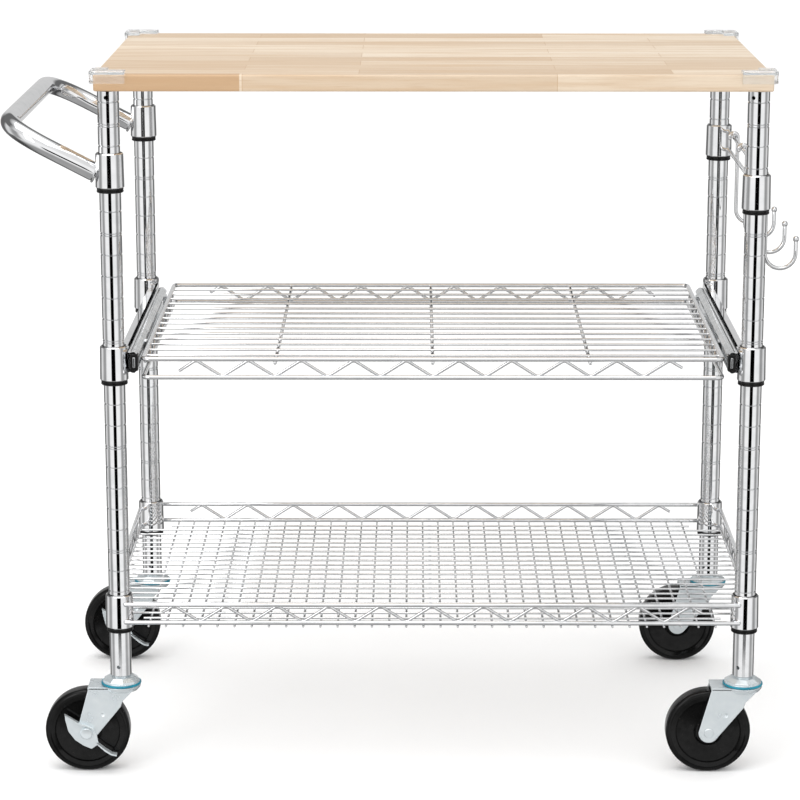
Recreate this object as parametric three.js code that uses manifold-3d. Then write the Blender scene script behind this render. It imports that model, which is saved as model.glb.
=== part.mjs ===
// Kitchen island cart: timber worktop on four grooved tube posts, a pull-out wire shelf on
// telescopic slides, a fixed wire shelf with a raised rim, a push handle, a hook rack and four
// swivel casters, the left two with brake pedals. Millimetres, +Z up, handle towards -X, front -Y.
import * as THREE from 'three';
import { mergeVertices } from 'three/addons/utils/BufferGeometryUtils.js';
import Module from 'manifold-3d';

const wasm = await Module();
wasm.setup();

// ---- driving dimensions ----
const clearance = 0.3; // gap between pieces that touch
const roundSides = 12; // facets of posts, sleeves and collars, all in phase
const wireSides = 6;
const cutOver = 1; // cutting tools run this far past the faces they open
const fuseDepth = 1; // parts of one turned piece run this far into each other
const weldSink = 0.4; // how deep a welded end sinks into its collar

const postSpacingX = 747;
const postSpacingY = 427;
const postRadius = 12.7;
const postWall = 1.4;
const postPlugHeight = 14;

const boardTop = 841.5;
const boardThickness = 19.3;
const boardOverhangX = 15.6;
const boardOverhangY = 14;

const guardLeg = 41; // length of each leg of a corner guard, outside
const guardThickness = 4.2;
const guardLip = 4.4; // guards above the worktop
const guardDrop = 10;
const guardFlange = 15;

const sleeveHeight = 46;
const sleeveWallLow = 2.6;
const sleeveWallTop = 1;
const sleeveShow = 5; // part of the sleeve below its collar
const collarHeight = 41;
const collarWallLow = 1.2; // outside the sleeve's lower end
const collarWallTop = 2.2; // outside the sleeve's top

const handleCollarDrop = 132.3; // from the worktop to the lower end of each collar
const rackCollarDrop = 156.9;
const trayCollarZ = 481.8; // lower end of each collar
const lowerCollarZ = 179;

const handleTubeRadius = 11.1;
const handleReach = 120.5; // from the post axis to the grip
const handleSlopeDeg = 27.5;
const handleAxisRise = 9; // height of the arm's axis above the collar's lower end, at the post axis
const handleBendRadius = 60;
const handleSides = 10;

const rackWireRadius = 2.6;
const rackOffset = 12; // rails outside the post axis
const rackRailLow = 9.4; // above the collar's lower end
const rackRailGap = 24;
const hookWireRadius = 2.3;
const hookShank = 93; // from the upper rail's axis to the centre of the U
const hookBendRadius = 18;
const hookTipLength = 17;
const hookBallRadius = 3.6;
const hookCurlDeg = 200; // how far the top curl goes round the rail
const hookFrontMargin = 43.5; // from the post axis to the first hook
const hookRearMargin = 65.5;
const hookCount = 4;

const rimWireRadius = 2.7;
const trussHeight = 22; // between the axes of the two rims
const zigzagWire = 3.6;
const zigzagPitch = 61.4;
const zigzagEndMargin = 40; // free length kept at each end of a long zigzag
const zigzagShortMargin = 20;
const zigzagTail = 0.27; // free ends, as a part of the pitch
const zigzagTailHeight = 0.45;
const zigzagInsetShare = 0.4; // knees inside the rims' axes, as a part of the rim's radius
const deckPitchX = 61.4;
const deckPitchY = 40.94;
const deckWire = 2.7; // side of the square deck wires
const rimOffsetX = 12; // rims outside the post axis
const rimOffsetY = 15;
const lowerRimAboveCollar = 9.2;
const deckShortEnd = 26; // outer deck wires stop this short of the post axis
const deckWireSink = 0.5; // how deep crossing wires are welded into each other
const deckCrossOverhang = 1; // cross wires past the rims

const trayRimAboveCollar = 27.8;
const trayWireDrop = 0.6; // deck wires below the axis of the rim
const traySkirtDrop = 21.8;
const trayWirePitch = 31;
const trayWireMargin = 15.5; // least room between the outer wires and the rim
const trayWire = 3;
const trayBarWire = 4.4;
const trayBarPitch = 184;
const trayCornerRadius = 9;
const trayRimShare = 0.9; // half side of the square rim, as a part of the wire's radius
const skirtKneeShare = 0.62; // room above a knee's middle, as a part of the zigzag wire
const skirtEndGap = 1.2; // skirt rims stop this short of each other at the corners

const bracketThickness = 1.8;
const bracketHeight = 28;
const bracketFlange = 9;
const bracketSink = 1.2; // how deep the sheet is let into the collars
const slideRearGap = 38.3; // from the rear post axis to the rear end of a slide
const slideFrontInset = 1; // behind the rear side of the front rim
const slideHeight = 25;
const slideThickness = 13;
const slideWall = 1.2;
const slideAboveCollar = 10.4;
const slideLipStep = 1.7; // each outer member's lips stop this much further from the shelf
const slidePadDepth = 2.45;
const slidePadSink = 1;
const slidePadLength = 16; // pads that join the inner strips to the shelf's sides
const slidePadInset = 73.5; // pads in from the post axes

const wheelRadius = 50.8;
const wheelWidth = 26;
const wheelShoulder = 5;
const wheelSides = 24;
const boreStretch = 1.04; // keeps the flats of the wheel's bore clear of the axle
const axleRadius = 6;
const casterTrail = 41;
const forkSheet = 2.6;
const forkSideGap = 2.2;
const crownGap = 3; // between the wheel and the crown
const forkEndRadius = 12;
const forkEdgeX = 0.5; // upright edge of each leg, in front of the swivel axis
const forkEdgeHeight = 24; // from the crown's top down to where the leg starts to slant
const forkBackX = 3; // back edge of each leg at the crown, in front of the axle
const forkRoundFromDeg = -45;
const forkRoundToDeg = -195;
const racewayRadius = 23.4;
const racewayHeight = 7.2;
const racewayBevelHeight = 3;
const racewayBevelWidth = 5;
const cupBevelHeight = 1;
const cupBevelWidth = 2;
const nutHeight = 4.5;
const nutAcrossFlats = 20;
const stemRadius = 8;
const plugRise = 2; // plug above the post's lower end
const stemPlugHeight = 32;
const pedalSheet = 2;
const pedalTabWidth = 6; // foot tab in front of the rocker

// ---- solids ----
function solidOf(geometry) {
  const bare = geometry.clone();
  bare.deleteAttribute('normal');
  bare.deleteAttribute('uv');
  const merged = mergeVertices(bare, 1e-4);
  const vertProperties = new Float32Array(merged.attributes.position.array);
  const triVerts = new Uint32Array(merged.index.array);
  return new wasm.Manifold(new wasm.Mesh({ numProp: 3, vertProperties, triVerts }));
}

function geometryOf(solid) {
  const mesh = solid.getMesh();
  const geometry = new THREE.BufferGeometry();
  geometry.setAttribute('position', new THREE.BufferAttribute(new Float32Array(mesh.vertProperties), 3));
  geometry.setIndex(new THREE.BufferAttribute(new Uint32Array(mesh.triVerts), 1));
  const faceted = geometry.toNonIndexed();
  faceted.computeVertexNormals();
  return faceted;
}

function fuse(...geometries) {
  let whole = solidOf(geometries[0]);
  for (const geometry of geometries.slice(1)) {
    whole = whole.add(solidOf(geometry));
  }
  return geometryOf(whole);
}

function cut(geometry, ...tools) {
  let rest = solidOf(geometry);
  for (const tool of tools) {
    rest = rest.subtract(solidOf(tool));
  }
  return geometryOf(rest);
}

function boxBetween(low, high) {
  const [x0, y0, z0] = low;
  const [x1, y1, z1] = high;
  const box = new THREE.BoxGeometry(x1 - x0, y1 - y0, z1 - z0);
  box.translate((x0 + x1) / 2, (y0 + y1) / 2, (z0 + z1) / 2);
  return box;
}

function rod(from, to, radius, sides = wireSides) {
  const start = new THREE.Vector3(...from);
  const axis = new THREE.Vector3(...to).sub(start);
  const cylinder = new THREE.CylinderGeometry(radius, radius, axis.length(), sides);
  const up = new THREE.Vector3(0, 1, 0);
  cylinder.applyQuaternion(new THREE.Quaternion().setFromUnitVectors(up, axis.clone().normalize()));
  const middle = start.addScaledVector(axis, 0.5);
  cylinder.translate(middle.x, middle.y, middle.z);
  return cylinder;
}

// Turned about Z: the profile is [radius, height] pairs, outer side first, upwards.
function turned(profile, sides = roundSides) {
  const points = profile.map(([radius, height]) => new THREE.Vector2(radius, height));
  const lathe = new THREE.LatheGeometry(points, sides, Math.PI / sides);
  lathe.rotateX(Math.PI / 2);
  return lathe;
}

class Polyline extends THREE.Curve {
  constructor(points) {
    super();
    this.points = points;
  }

  getPoint(t) {
    const place = t * (this.points.length - 1);
    const index = Math.min(Math.floor(place), this.points.length - 2);
    return this.points[index].clone().lerp(this.points[index + 1], place - index);
  }

  getPointAt(t) {
    return this.getPoint(t);
  }

  getTangentAt(t) {
    return this.getTangent(t);
  }
}

function sweep(points, radius, sides) {
  const section = new THREE.Shape();
  for (let i = 0; i < sides; i += 1) {
    const angle = (i * 2 * Math.PI) / sides;
    const place = [radius * Math.cos(angle), radius * Math.sin(angle)];
    if (i === 0) {
      section.moveTo(...place);
    } else {
      section.lineTo(...place);
    }
  }
  section.closePath();
  const settings = { steps: points.length - 1, extrudePath: new Polyline(points), bevelEnabled: false };
  return new THREE.ExtrudeGeometry(section, settings);
}

function outline(points) {
  return new THREE.Shape(points.map(([x, y]) => new THREE.Vector2(x, y)));
}

function plate(points, from, to) {
  const slab = new THREE.ExtrudeGeometry(outline(points), { depth: to - from, bevelEnabled: false });
  slab.translate(0, 0, from);
  return slab;
}

// Stands a plate drawn in X and Z upright, with its thickness running along Y.
function uprightPlate(points, yFrom, yTo) {
  const slab = plate(points, -yTo, -yFrom);
  slab.rotateX(Math.PI / 2);
  return slab;
}

// ---- the exported group ----
const cart = new THREE.Group();

const finishes = {
  timber: [0xe3c9a0, 0.55, 0],
  chrome: [0xd4d6d8, 0.16, 1],
  zinc: [0xc3cbd0, 0.32, 1],
  clear: [0xe9eef0, 0.2, 0],
  blackPlastic: [0x161617, 0.45, 0],
  wheelBlack: [0x121313, 0.3, 0],
};

function addNode(name, finish, geometry) {
  const [color, roughness, metalness] = finishes[finish];
  const mesh = new THREE.Mesh(geometry, new THREE.MeshStandardMaterial({ color, roughness, metalness }));
  mesh.name = name;
  cart.add(mesh);
  return mesh;
}

const sides = [['left', -1], ['right', 1]];
const faces = [['front', -1], ['rear', 1]];
const corners = [];
for (const [faceName, faceSign] of faces) {
  for (const [sideName, sideSign] of sides) {
    const x = (sideSign * postSpacingX) / 2;
    const y = (faceSign * postSpacingY) / 2;
    corners.push({ name: `${faceName}_${sideName}`, x, y, sideSign, faceSign });
  }
}

// ---- posts ----
const boardBottom = boardTop - boardThickness;
const postTop = boardBottom - clearance;
const postBore = postRadius - postWall;
const forkTop = 2 * wheelRadius + crownGap + forkSheet;
const racewayBottom = forkTop + clearance;
const racewayTop = racewayBottom + racewayHeight;
const postBottom = racewayTop + nutHeight + clearance;

function postGeometry() {
  return turned([
    [0, postTop], [0, postTop - postPlugHeight], [postBore, postTop - postPlugHeight],
    [postBore, postBottom], [postRadius, postBottom], [postRadius, postTop], [0, postTop],
  ]);
}

for (const corner of corners) {
  const post = addNode(`post_${corner.name}`, 'chrome', postGeometry());
  post.position.set(corner.x, corner.y, 0);
}

// ---- worktop and its corner guards ----
const boardHalfX = postSpacingX / 2 + boardOverhangX;
const boardHalfY = postSpacingY / 2 + boardOverhangY;
addNode('worktop', 'timber', boxBetween(
  [-boardHalfX, -boardHalfY, boardBottom],
  [boardHalfX, boardHalfY, boardTop],
));

// Drawn for the corner at +X +Y, with the board's corner at the local origin.
function guardGeometry(sideSign, faceSign) {
  const out = guardThickness + clearance;
  const back = out - guardLeg;
  const ell = (inner) => [
    [out, out], [back, out], [back, inner], [inner, inner], [inner, back], [out, back],
  ];
  const flip = ([x, y]) => [x * sideSign, y * faceSign];
  const wall = plate(ell(clearance).map(flip), boardTop - guardDrop, boardTop + guardLip);
  const flange = plate(ell(-guardFlange).map(flip), boardTop + clearance, boardTop + guardLip);
  return fuse(wall, flange);
}

for (const corner of corners) {
  const shape = guardGeometry(corner.sideSign, corner.faceSign);
  const guard = addNode(`corner_guard_${corner.name}`, 'clear', shape);
  guard.position.set(corner.sideSign * boardHalfX, corner.faceSign * boardHalfY, 0);
}

// ---- tapered split sleeves and the collars that wedge on them ----
const sleeveBore = postRadius + clearance;
const sleeveRadiusLow = sleeveBore + sleeveWallLow;
const sleeveRadiusTop = sleeveBore + sleeveWallTop;
const collarRadiusLow = sleeveRadiusLow + collarWallLow;
const collarRadiusTop = sleeveRadiusTop + collarWallTop;
const handleCollarZ = boardTop - handleCollarDrop;
const rackCollarZ = boardTop - rackCollarDrop;
const sleeveTaper = (sleeveRadiusLow - sleeveRadiusTop) / sleeveHeight;
const sleeveRadiusAt = (height) => sleeveRadiusLow - sleeveTaper * height;

function sleeveGeometry() {
  return turned([
    [sleeveBore, sleeveHeight], [sleeveBore, 0], [sleeveRadiusLow, 0],
    [sleeveRadiusTop, sleeveHeight], [sleeveBore, sleeveHeight],
  ]);
}

const boreLow = sleeveRadiusAt(sleeveShow) + clearance;
const boreTop = sleeveRadiusAt(sleeveShow + collarHeight) + clearance;

// The collar's lower end is at z.
function collarGeometry(x, y, z) {
  const collar = turned([
    [boreTop, collarHeight], [boreLow, 0], [collarRadiusLow, 0],
    [collarRadiusTop, collarHeight], [boreTop, collarHeight],
  ]);
  collar.translate(x, y, z);
  return collar;
}

function collarBoreTool(x, y, z) {
  const tool = turned([
    [0, -cutOver], [boreLow, -cutOver], [boreLow, 0], [boreTop, collarHeight],
    [boreTop, collarHeight + cutOver], [0, collarHeight + cutOver],
  ]);
  tool.translate(x, y, z);
  return tool;
}

const sleeveLevels = [
  ['handle', handleCollarZ, (corner) => corner.sideSign < 0],
  ['rack', rackCollarZ, (corner) => corner.sideSign > 0],
  ['tray', trayCollarZ, () => true],
  ['lower', lowerCollarZ, () => true],
];
for (const [level, collarZ, fits] of sleeveLevels) {
  for (const corner of corners.filter(fits)) {
    const sleeve = addNode(`sleeve_${level}_${corner.name}`, 'blackPlastic', sleeveGeometry());
    sleeve.position.set(corner.x, corner.y, collarZ - sleeveShow);
  }
}

const postX = postSpacingX / 2;
const postY = postSpacingY / 2;
const collarMeanRadius = (collarRadiusLow + collarRadiusTop) / 2;

const collarFlatRadius = collarRadiusTop * Math.cos(Math.PI / roundSides);

// Along a wire that passes the post axis at the given offset: where its end sinks into the
// collar it is welded to, and where it stops just clear of a collar that is another piece.
function weldReach(offset) {
  const wall = collarFlatRadius - weldSink;
  return Math.sqrt(Math.max(wall * wall - offset * offset, 1));
}

function clearReach(offset, wireRadius) {
  const near = offset - wireRadius;
  return Math.sqrt(Math.max(collarRadiusLow * collarRadiusLow - near * near, 0)) + clearance;
}

// Pieces welded to the front and rear collars on the posts at x, with the collars' bores left open.
function withCollars(x, z, ...pieces) {
  return cut(
    fuse(collarGeometry(x, -postY, z), collarGeometry(x, postY, z), ...pieces),
    collarBoreTool(x, -postY, z),
    collarBoreTool(x, postY, z),
  );
}

// ---- push handle ----
function handleRoute() {
  const slope = THREE.MathUtils.degToRad(handleSlopeDeg);
  const outward = new THREE.Vector3(-Math.cos(slope), 0, Math.sin(slope));
  const run = handleReach / Math.cos(slope);
  const startRun = collarMeanRadius / Math.cos(slope);
  const origin = new THREE.Vector3(-postX, 0, handleCollarZ + handleAxisRise);
  const place = (distance, y) => origin.clone().addScaledVector(outward, distance).setY(y);
  const bendSteps = 6;
  const half = [place(startRun, -postY)];
  for (let i = 0; i <= bendSteps; i += 1) {
    const angle = (i / bendSteps) * (Math.PI / 2);
    const distance = run - handleBendRadius * (1 - Math.sin(angle));
    half.push(place(distance, -postY + handleBendRadius * (1 - Math.cos(angle))));
  }
  const mirrored = half.map((point) => point.clone().setY(-point.y)).reverse();
  return [...half, ...mirrored];
}

addNode('push_handle', 'chrome', withCollars(
  -postX,
  handleCollarZ,
  sweep(handleRoute(), handleTubeRadius, handleSides),
));

// ---- hook rack ----
const rackX = postX + rackOffset;
const rackReach = postY - weldReach(rackOffset);
const railLowZ = rackCollarZ + rackRailLow;
const railTopZ = railLowZ + rackRailGap;
addNode('hook_rack', 'chrome', withCollars(
  postX,
  rackCollarZ,
  rod([rackX, -rackReach, railLowZ], [rackX, rackReach, railLowZ], rackWireRadius),
  rod([rackX, -rackReach, railTopZ], [rackX, rackReach, railTopZ], rackWireRadius),
));

// A hook hangs on the upper rail and leans on the lower one. Local origin: the upper rail's axis.
function hookRoute() {
  const curlRadius = rackWireRadius + hookWireRadius + clearance;
  const points = [];
  const turn = (cx, cz, radius, from, to, steps) => {
    for (let i = 0; i <= steps; i += 1) {
      const angle = THREE.MathUtils.degToRad(from + ((to - from) * i) / steps);
      points.push(new THREE.Vector3(cx + radius * Math.cos(angle), 0, cz + radius * Math.sin(angle)));
    }
  };
  turn(0, 0, curlRadius, hookCurlDeg, 0, 6);
  turn(curlRadius + hookBendRadius, -hookShank, hookBendRadius, 180, 360, 7);
  const last = points[points.length - 1];
  points.push(new THREE.Vector3(last.x, 0, last.z + hookTipLength));
  return points;
}

function hookGeometry() {
  const route = hookRoute();
  const end = route[route.length - 1];
  const ball = new THREE.SphereGeometry(hookBallRadius, 8, 6);
  ball.translate(end.x, end.y, end.z);
  return fuse(sweep(route, hookWireRadius, wireSides), ball);
}

const hookFirstY = -postY + hookFrontMargin;
const hookPitch = (postY - hookRearMargin - hookFirstY) / (hookCount - 1);
for (let i = 0; i < hookCount; i += 1) {
  const hook = addNode(`hook_${i + 1}`, 'chrome', hookGeometry());
  hook.position.set(rackX, hookFirstY + i * hookPitch, railTopZ);
}

// ---- wire trusses ----
// Zigzag wire between two rims, drawn along U with V upwards, centred on U = 0.
function zigzagOutline(length, lowV, highV, wire) {
  const periods = Math.max(1, Math.floor(length / zigzagPitch));
  const half = (periods * zigzagPitch) / 2;
  const tailV = lowV + (highV - lowV) * zigzagTailHeight;
  const knees = [[-half - zigzagPitch * zigzagTail, tailV]];
  for (let i = 0; i <= periods * 2; i += 1) {
    knees.push([-half + (i * zigzagPitch) / 2, i % 2 === 0 ? highV : lowV]);
  }
  knees.push([half + zigzagPitch * zigzagTail, tailV]);
  const slopeLength = Math.hypot(zigzagPitch / 2, highV - lowV);
  const rise = (wire / 2) * (slopeLength / (zigzagPitch / 2));
  const upper = knees.map(([u, v]) => [u, v + rise]);
  const lower = knees.map(([u, v]) => [u, v - rise]);
  return [...lower, ...upper.reverse()];
}

// ---- lower shelf ----
const lowerRimZ = lowerCollarZ + lowerRimAboveCollar;
const upperRimZ = lowerRimZ + trussHeight;
const lowerRimY = postY + rimOffsetY;
const lowerRimX = postX + rimOffsetX;
const zigzagInset = rimWireRadius * zigzagInsetShare;
const zigzagLow = lowerRimZ + zigzagInset;
const zigzagHigh = upperRimZ - zigzagInset;

for (const [faceName, faceSign] of faces) {
  const y = faceSign * lowerRimY;
  const end = postX - clearReach(rimOffsetY, rimWireRadius);
  const zigzag = zigzagOutline((end - zigzagEndMargin) * 2, zigzagLow, zigzagHigh, zigzagWire);
  addNode(`lower_shelf_truss_${faceName}`, 'chrome', fuse(
    rod([-end, y, lowerRimZ], [end, y, lowerRimZ], rimWireRadius),
    rod([-end, y, upperRimZ], [end, y, upperRimZ], rimWireRadius),
    uprightPlate(zigzag, y - zigzagWire / 2, y + zigzagWire / 2),
  ));
}

for (const [sideName, sideSign] of sides) {
  const x = sideSign * lowerRimX;
  const end = postY - weldReach(rimOffsetX);
  const zigzag = uprightPlate(
    zigzagOutline((end - zigzagShortMargin) * 2, zigzagLow, zigzagHigh, zigzagWire),
    -zigzagWire / 2,
    zigzagWire / 2,
  );
  zigzag.rotateZ(Math.PI / 2);
  zigzag.translate(x, 0, 0);
  addNode(`lower_shelf_end_${sideName}`, 'chrome', withCollars(
    sideSign * postX,
    lowerCollarZ,
    rod([x, -end, lowerRimZ], [x, end, lowerRimZ], rimWireRadius),
    rod([x, -end, upperRimZ], [x, end, upperRimZ], rimWireRadius),
    zigzag,
  ));
}

// The deck: square wires along X lying on wires along Y, inside the rims.
function deckGeometry() {
  const crossTop = lowerRimZ - rimWireRadius - clearance;
  const crossEnd = lowerRimY + deckCrossOverhang;
  const longEnd = lowerRimX - rimWireRadius - clearance;
  const shortEnd = postX - deckShortEnd;
  const longBottom = crossTop - deckWireSink;
  const pieces = [];
  const rows = Math.floor((lowerRimY - rimWireRadius) / deckPitchY);
  for (let i = -rows; i <= rows; i += 1) {
    const y = i * deckPitchY;
    const end = Math.abs(y) > postY - collarRadiusLow - deckWire ? shortEnd : longEnd;
    pieces.push(boxBetween(
      [-end, y - deckWire / 2, longBottom],
      [end, y + deckWire / 2, longBottom + deckWire],
    ));
  }
  const columns = Math.floor(shortEnd / deckPitchX - 0.5);
  for (let i = -columns - 1; i <= columns; i += 1) {
    const x = (i + 0.5) * deckPitchX;
    pieces.push(boxBetween(
      [x - deckWire / 2, -crossEnd, crossTop - deckWire],
      [x + deckWire / 2, crossEnd, crossTop],
    ));
  }
  return fuse(...pieces);
}

addNode('lower_shelf_deck', 'chrome', deckGeometry());

// ---- brackets that carry the slides ----
const bracketInner = postX - collarFlatRadius - bracketThickness + bracketSink;
const slideBottom = trayCollarZ + slideAboveCollar;
const slideMiddleZ = slideBottom + slideHeight / 2;
for (const [sideName, sideSign] of sides) {
  const inner = sideSign * bracketInner;
  const outer = sideSign * (bracketInner + bracketThickness);
  const flangeEdge = sideSign * (bracketInner + bracketFlange);
  const low = slideMiddleZ - bracketHeight / 2;
  const high = slideMiddleZ + bracketHeight / 2;
  const span = (a, b, z0, z1, end) => boxBetween(
    [Math.min(a, b), -end, z0],
    [Math.max(a, b), end, z1],
  );
  const flangeEnd = postY - collarRadiusLow + weldSink;
  addNode(`slide_bracket_${sideName}`, 'chrome', withCollars(
    sideSign * postX,
    trayCollarZ,
    span(inner, outer, low, high, postY),
    span(inner, flangeEdge, high - bracketThickness, high, flangeEnd),
  ));
}

// ---- telescopic slides: outer channel, middle channel and inner strip, one inside the other ----
const trayRimY = postY + rimOffsetY;
const slideFront = -trayRimY + rimWireRadius + slideFrontInset;
const slideRear = postY - slideRearGap;

// A channel open towards the tray: web at |x| = far, lips reaching to |x| = near.
function channel(sideSign, near, far, low, high) {
  const [x0, x1] = [sideSign * near, sideSign * far].sort((a, b) => a - b);
  const web = sideSign * (far - slideWall);
  const [h0, h1] = [sideSign * (near - cutOver), web].sort((a, b) => a - b);
  return cut(
    boxBetween([x0, slideFront, low], [x1, slideRear, high]),
    boxBetween(
      [h0, slideFront - cutOver, low + slideWall],
      [h1, slideRear + cutOver, high - slideWall],
    ),
  );
}

const slideFar = bracketInner - clearance;
const slideNear = slideFar - slideThickness;
const shelfSide = slideNear - slidePadDepth;
const trayHalfWidth = shelfSide - clearance - rimWireRadius;
const slidePadY = postY - slidePadInset;
for (const [sideName, sideSign] of sides) {
  const low = slideBottom;
  const high = slideBottom + slideHeight;
  const step = slideWall + clearance;
  addNode(`slide_outer_${sideName}`, 'zinc', channel(
    sideSign, slideNear + 2 * slideLipStep, slideFar, low, high,
  ));
  addNode(`slide_middle_${sideName}`, 'zinc', channel(
    sideSign, slideNear + slideLipStep, slideFar - step, low + step, high - step,
  ));
  const innerFar = slideFar - 2 * step;
  const strip = (near, far, front, rear) => boxBetween(
    [Math.min(sideSign * near, sideSign * far), front, low + 2 * step],
    [Math.max(sideSign * near, sideSign * far), rear, high - 2 * step],
  );
  const pad = (y) => strip(
    shelfSide,
    slideNear + slidePadSink,
    y - slidePadLength / 2,
    y + slidePadLength / 2,
  );
  addNode(`slide_inner_${sideName}`, 'zinc', fuse(
    strip(slideNear, innerFar, slideFront, slideRear),
    pad(-slidePadY),
    pad(slidePadY),
  ));
}

// ---- pull-out wire shelf ----
const trayRim = { x: trayHalfWidth, y: trayRimY };
const trayRimZ = trayCollarZ + trayRimAboveCollar;
const skirtZ = trayRimZ - traySkirtDrop;

function rimLoopPoints(z) {
  const bendSteps = 3;
  const points = [];
  const turns = [[1, 1, 0], [-1, 1, 90], [-1, -1, 180], [1, -1, 270]];
  for (const [sx, sy, start] of turns) {
    const cx = sx * (trayRim.x - trayCornerRadius);
    const cy = sy * (trayRim.y - trayCornerRadius);
    for (let i = 0; i <= bendSteps; i += 1) {
      const angle = THREE.MathUtils.degToRad(start + (90 * i) / bendSteps);
      points.push([cx + trayCornerRadius * Math.cos(angle), cy + trayCornerRadius * Math.sin(angle), z]);
    }
  }
  return points;
}

// A flat ring of square section following the loop.
function rimLoop(z, wire) {
  const grow = (amount) => rimLoopPoints(z).map(([x, y]) => {
    const cx = Math.sign(x) * (trayRim.x - trayCornerRadius);
    const cy = Math.sign(y) * (trayRim.y - trayCornerRadius);
    const scale = (trayCornerRadius + amount) / trayCornerRadius;
    return [cx + (x - cx) * scale, cy + (y - cy) * scale];
  });
  const ring = outline(grow(wire));
  ring.holes.push(new THREE.Path(grow(-wire).map(([x, y]) => new THREE.Vector2(x, y))));
  const loop = new THREE.ExtrudeGeometry(ring, { depth: wire * 2, bevelEnabled: false });
  loop.translate(0, 0, z - wire);
  return loop;
}

function trayDeckGeometry() {
  const wireTop = trayRimZ - trayWireDrop;
  const pieces = [rimLoop(trayRimZ, rimWireRadius * trayRimShare)];
  const trayWireCount = 2 * Math.floor((trayRim.y - trayWireMargin) / trayWirePitch + 0.5);
  for (let i = 0; i < trayWireCount; i += 1) {
    const y = (i - (trayWireCount - 1) / 2) * trayWirePitch;
    pieces.push(boxBetween(
      [-trayRim.x, y - trayWire / 2, wireTop - trayWire],
      [trayRim.x, y + trayWire / 2, wireTop],
    ));
  }
  for (let i = -1; i <= 1; i += 1) {
    const x = i * trayBarPitch;
    const barTop = wireTop - trayWire + deckWireSink;
    pieces.push(boxBetween(
      [x - trayBarWire / 2, -trayRim.y, barTop - trayBarWire],
      [x + trayBarWire / 2, trayRim.y, barTop],
    ));
  }
  return fuse(...pieces);
}

addNode('tray_deck', 'chrome', trayDeckGeometry());

// Skirt trusses hang below the deck: a rim along the bottom and a zigzag up to the deck's rim.
const skirtTop = trayRimZ - rimWireRadius - clearance - zigzagWire * skirtKneeShare;
const skirtLow = skirtZ + zigzagInset;
for (const [faceName, faceSign] of faces) {
  const y = faceSign * trayRim.y;
  const end = trayRim.x - rimWireRadius - skirtEndGap;
  const bars = [];
  for (let i = -1; i <= 1; i += 1) {
    bars.push(boxBetween(
      [i * trayBarPitch - trayBarWire, y - zigzagWire, trayRimZ - trayBarWire - trayWire - cutOver],
      [i * trayBarPitch + trayBarWire, y + zigzagWire, trayRimZ],
    ));
  }
  addNode(`tray_skirt_${faceName}`, 'chrome', cut(
    fuse(
      rod([-end, y, skirtZ], [end, y, skirtZ], rimWireRadius),
      uprightPlate(
        zigzagOutline((end - zigzagEndMargin) * 2, skirtLow, skirtTop, zigzagWire),
        y - zigzagWire / 2,
        y + zigzagWire / 2,
      ),
    ),
    ...bars,
  ));
}
for (const [sideName, sideSign] of sides) {
  const x = sideSign * trayRim.x;
  const end = trayRim.y - rimWireRadius - skirtEndGap;
  const zigzag = uprightPlate(
    zigzagOutline((end - zigzagShortMargin) * 2, skirtLow, skirtTop, zigzagWire),
    -zigzagWire / 2,
    zigzagWire / 2,
  );
  zigzag.rotateZ(Math.PI / 2);
  zigzag.translate(x, 0, 0);
  addNode(`tray_skirt_${sideName}`, 'chrome', fuse(
    rod([x, -end, skirtZ], [x, end, skirtZ], rimWireRadius),
    zigzag,
  ));
}

// ---- casters: local origin on the swivel axis at floor level, wheel trailing to -X ----
const legInner = wheelWidth / 2 + forkSideGap;
const legOuter = legInner + forkSheet;

function casterTopGeometry() {
  const nutTop = postBottom - clearance;
  const race = turned([
    [0, racewayTop], [0, racewayBottom], [racewayRadius, racewayBottom],
    [racewayRadius, racewayTop - racewayBevelHeight], [racewayRadius - racewayBevelWidth, racewayTop],
    [0, racewayTop],
  ]);
  const nut = rod([0, 0, racewayTop - fuseDepth], [0, 0, nutTop], nutAcrossFlats / Math.sqrt(3));
  const plugRadius = postBore - clearance;
  const plug = turned([
    [0, postBottom + stemPlugHeight], [0, nutTop - fuseDepth], [stemRadius, nutTop - fuseDepth],
    [stemRadius, postBottom + plugRise], [plugRadius, postBottom + plugRise],
    [plugRadius, postBottom + stemPlugHeight], [0, postBottom + stemPlugHeight],
  ]);
  return fuse(race, nut, plug);
}

function legOutline() {
  const points = [[forkEdgeX, forkTop], [forkEdgeX, forkTop - forkEdgeHeight]];
  const endSteps = 6;
  for (let i = 0; i <= endSteps; i += 1) {
    const share = i / endSteps;
    const degrees = forkRoundFromDeg + (forkRoundToDeg - forkRoundFromDeg) * share;
    const angle = THREE.MathUtils.degToRad(degrees);
    points.push([
      -casterTrail + forkEndRadius * Math.cos(angle),
      wheelRadius + forkEndRadius * Math.sin(angle),
    ]);
  }
  points.push([-casterTrail + forkBackX, forkTop]);
  return points.reverse();
}

function forkGeometry() {
  const crown = boxBetween(
    [-casterTrail, -legOuter, forkTop - forkSheet],
    [forkEdgeX, legOuter, forkTop],
  );
  const cup = turned([
    [0, forkTop], [0, forkTop - forkSheet], [racewayRadius - cupBevelWidth, forkTop - forkSheet],
    [racewayRadius, forkTop - cupBevelHeight], [racewayRadius, forkTop], [0, forkTop],
  ]);
  const legs = [
    uprightPlate(legOutline(), -legOuter, -legInner),
    uprightPlate(legOutline(), legInner, legOuter),
  ];
  const axle = rod(
    [-casterTrail, -legOuter, wheelRadius],
    [-casterTrail, legOuter, wheelRadius],
    axleRadius,
    roundSides,
  );
  return fuse(crown, cup, ...legs, axle);
}

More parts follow.
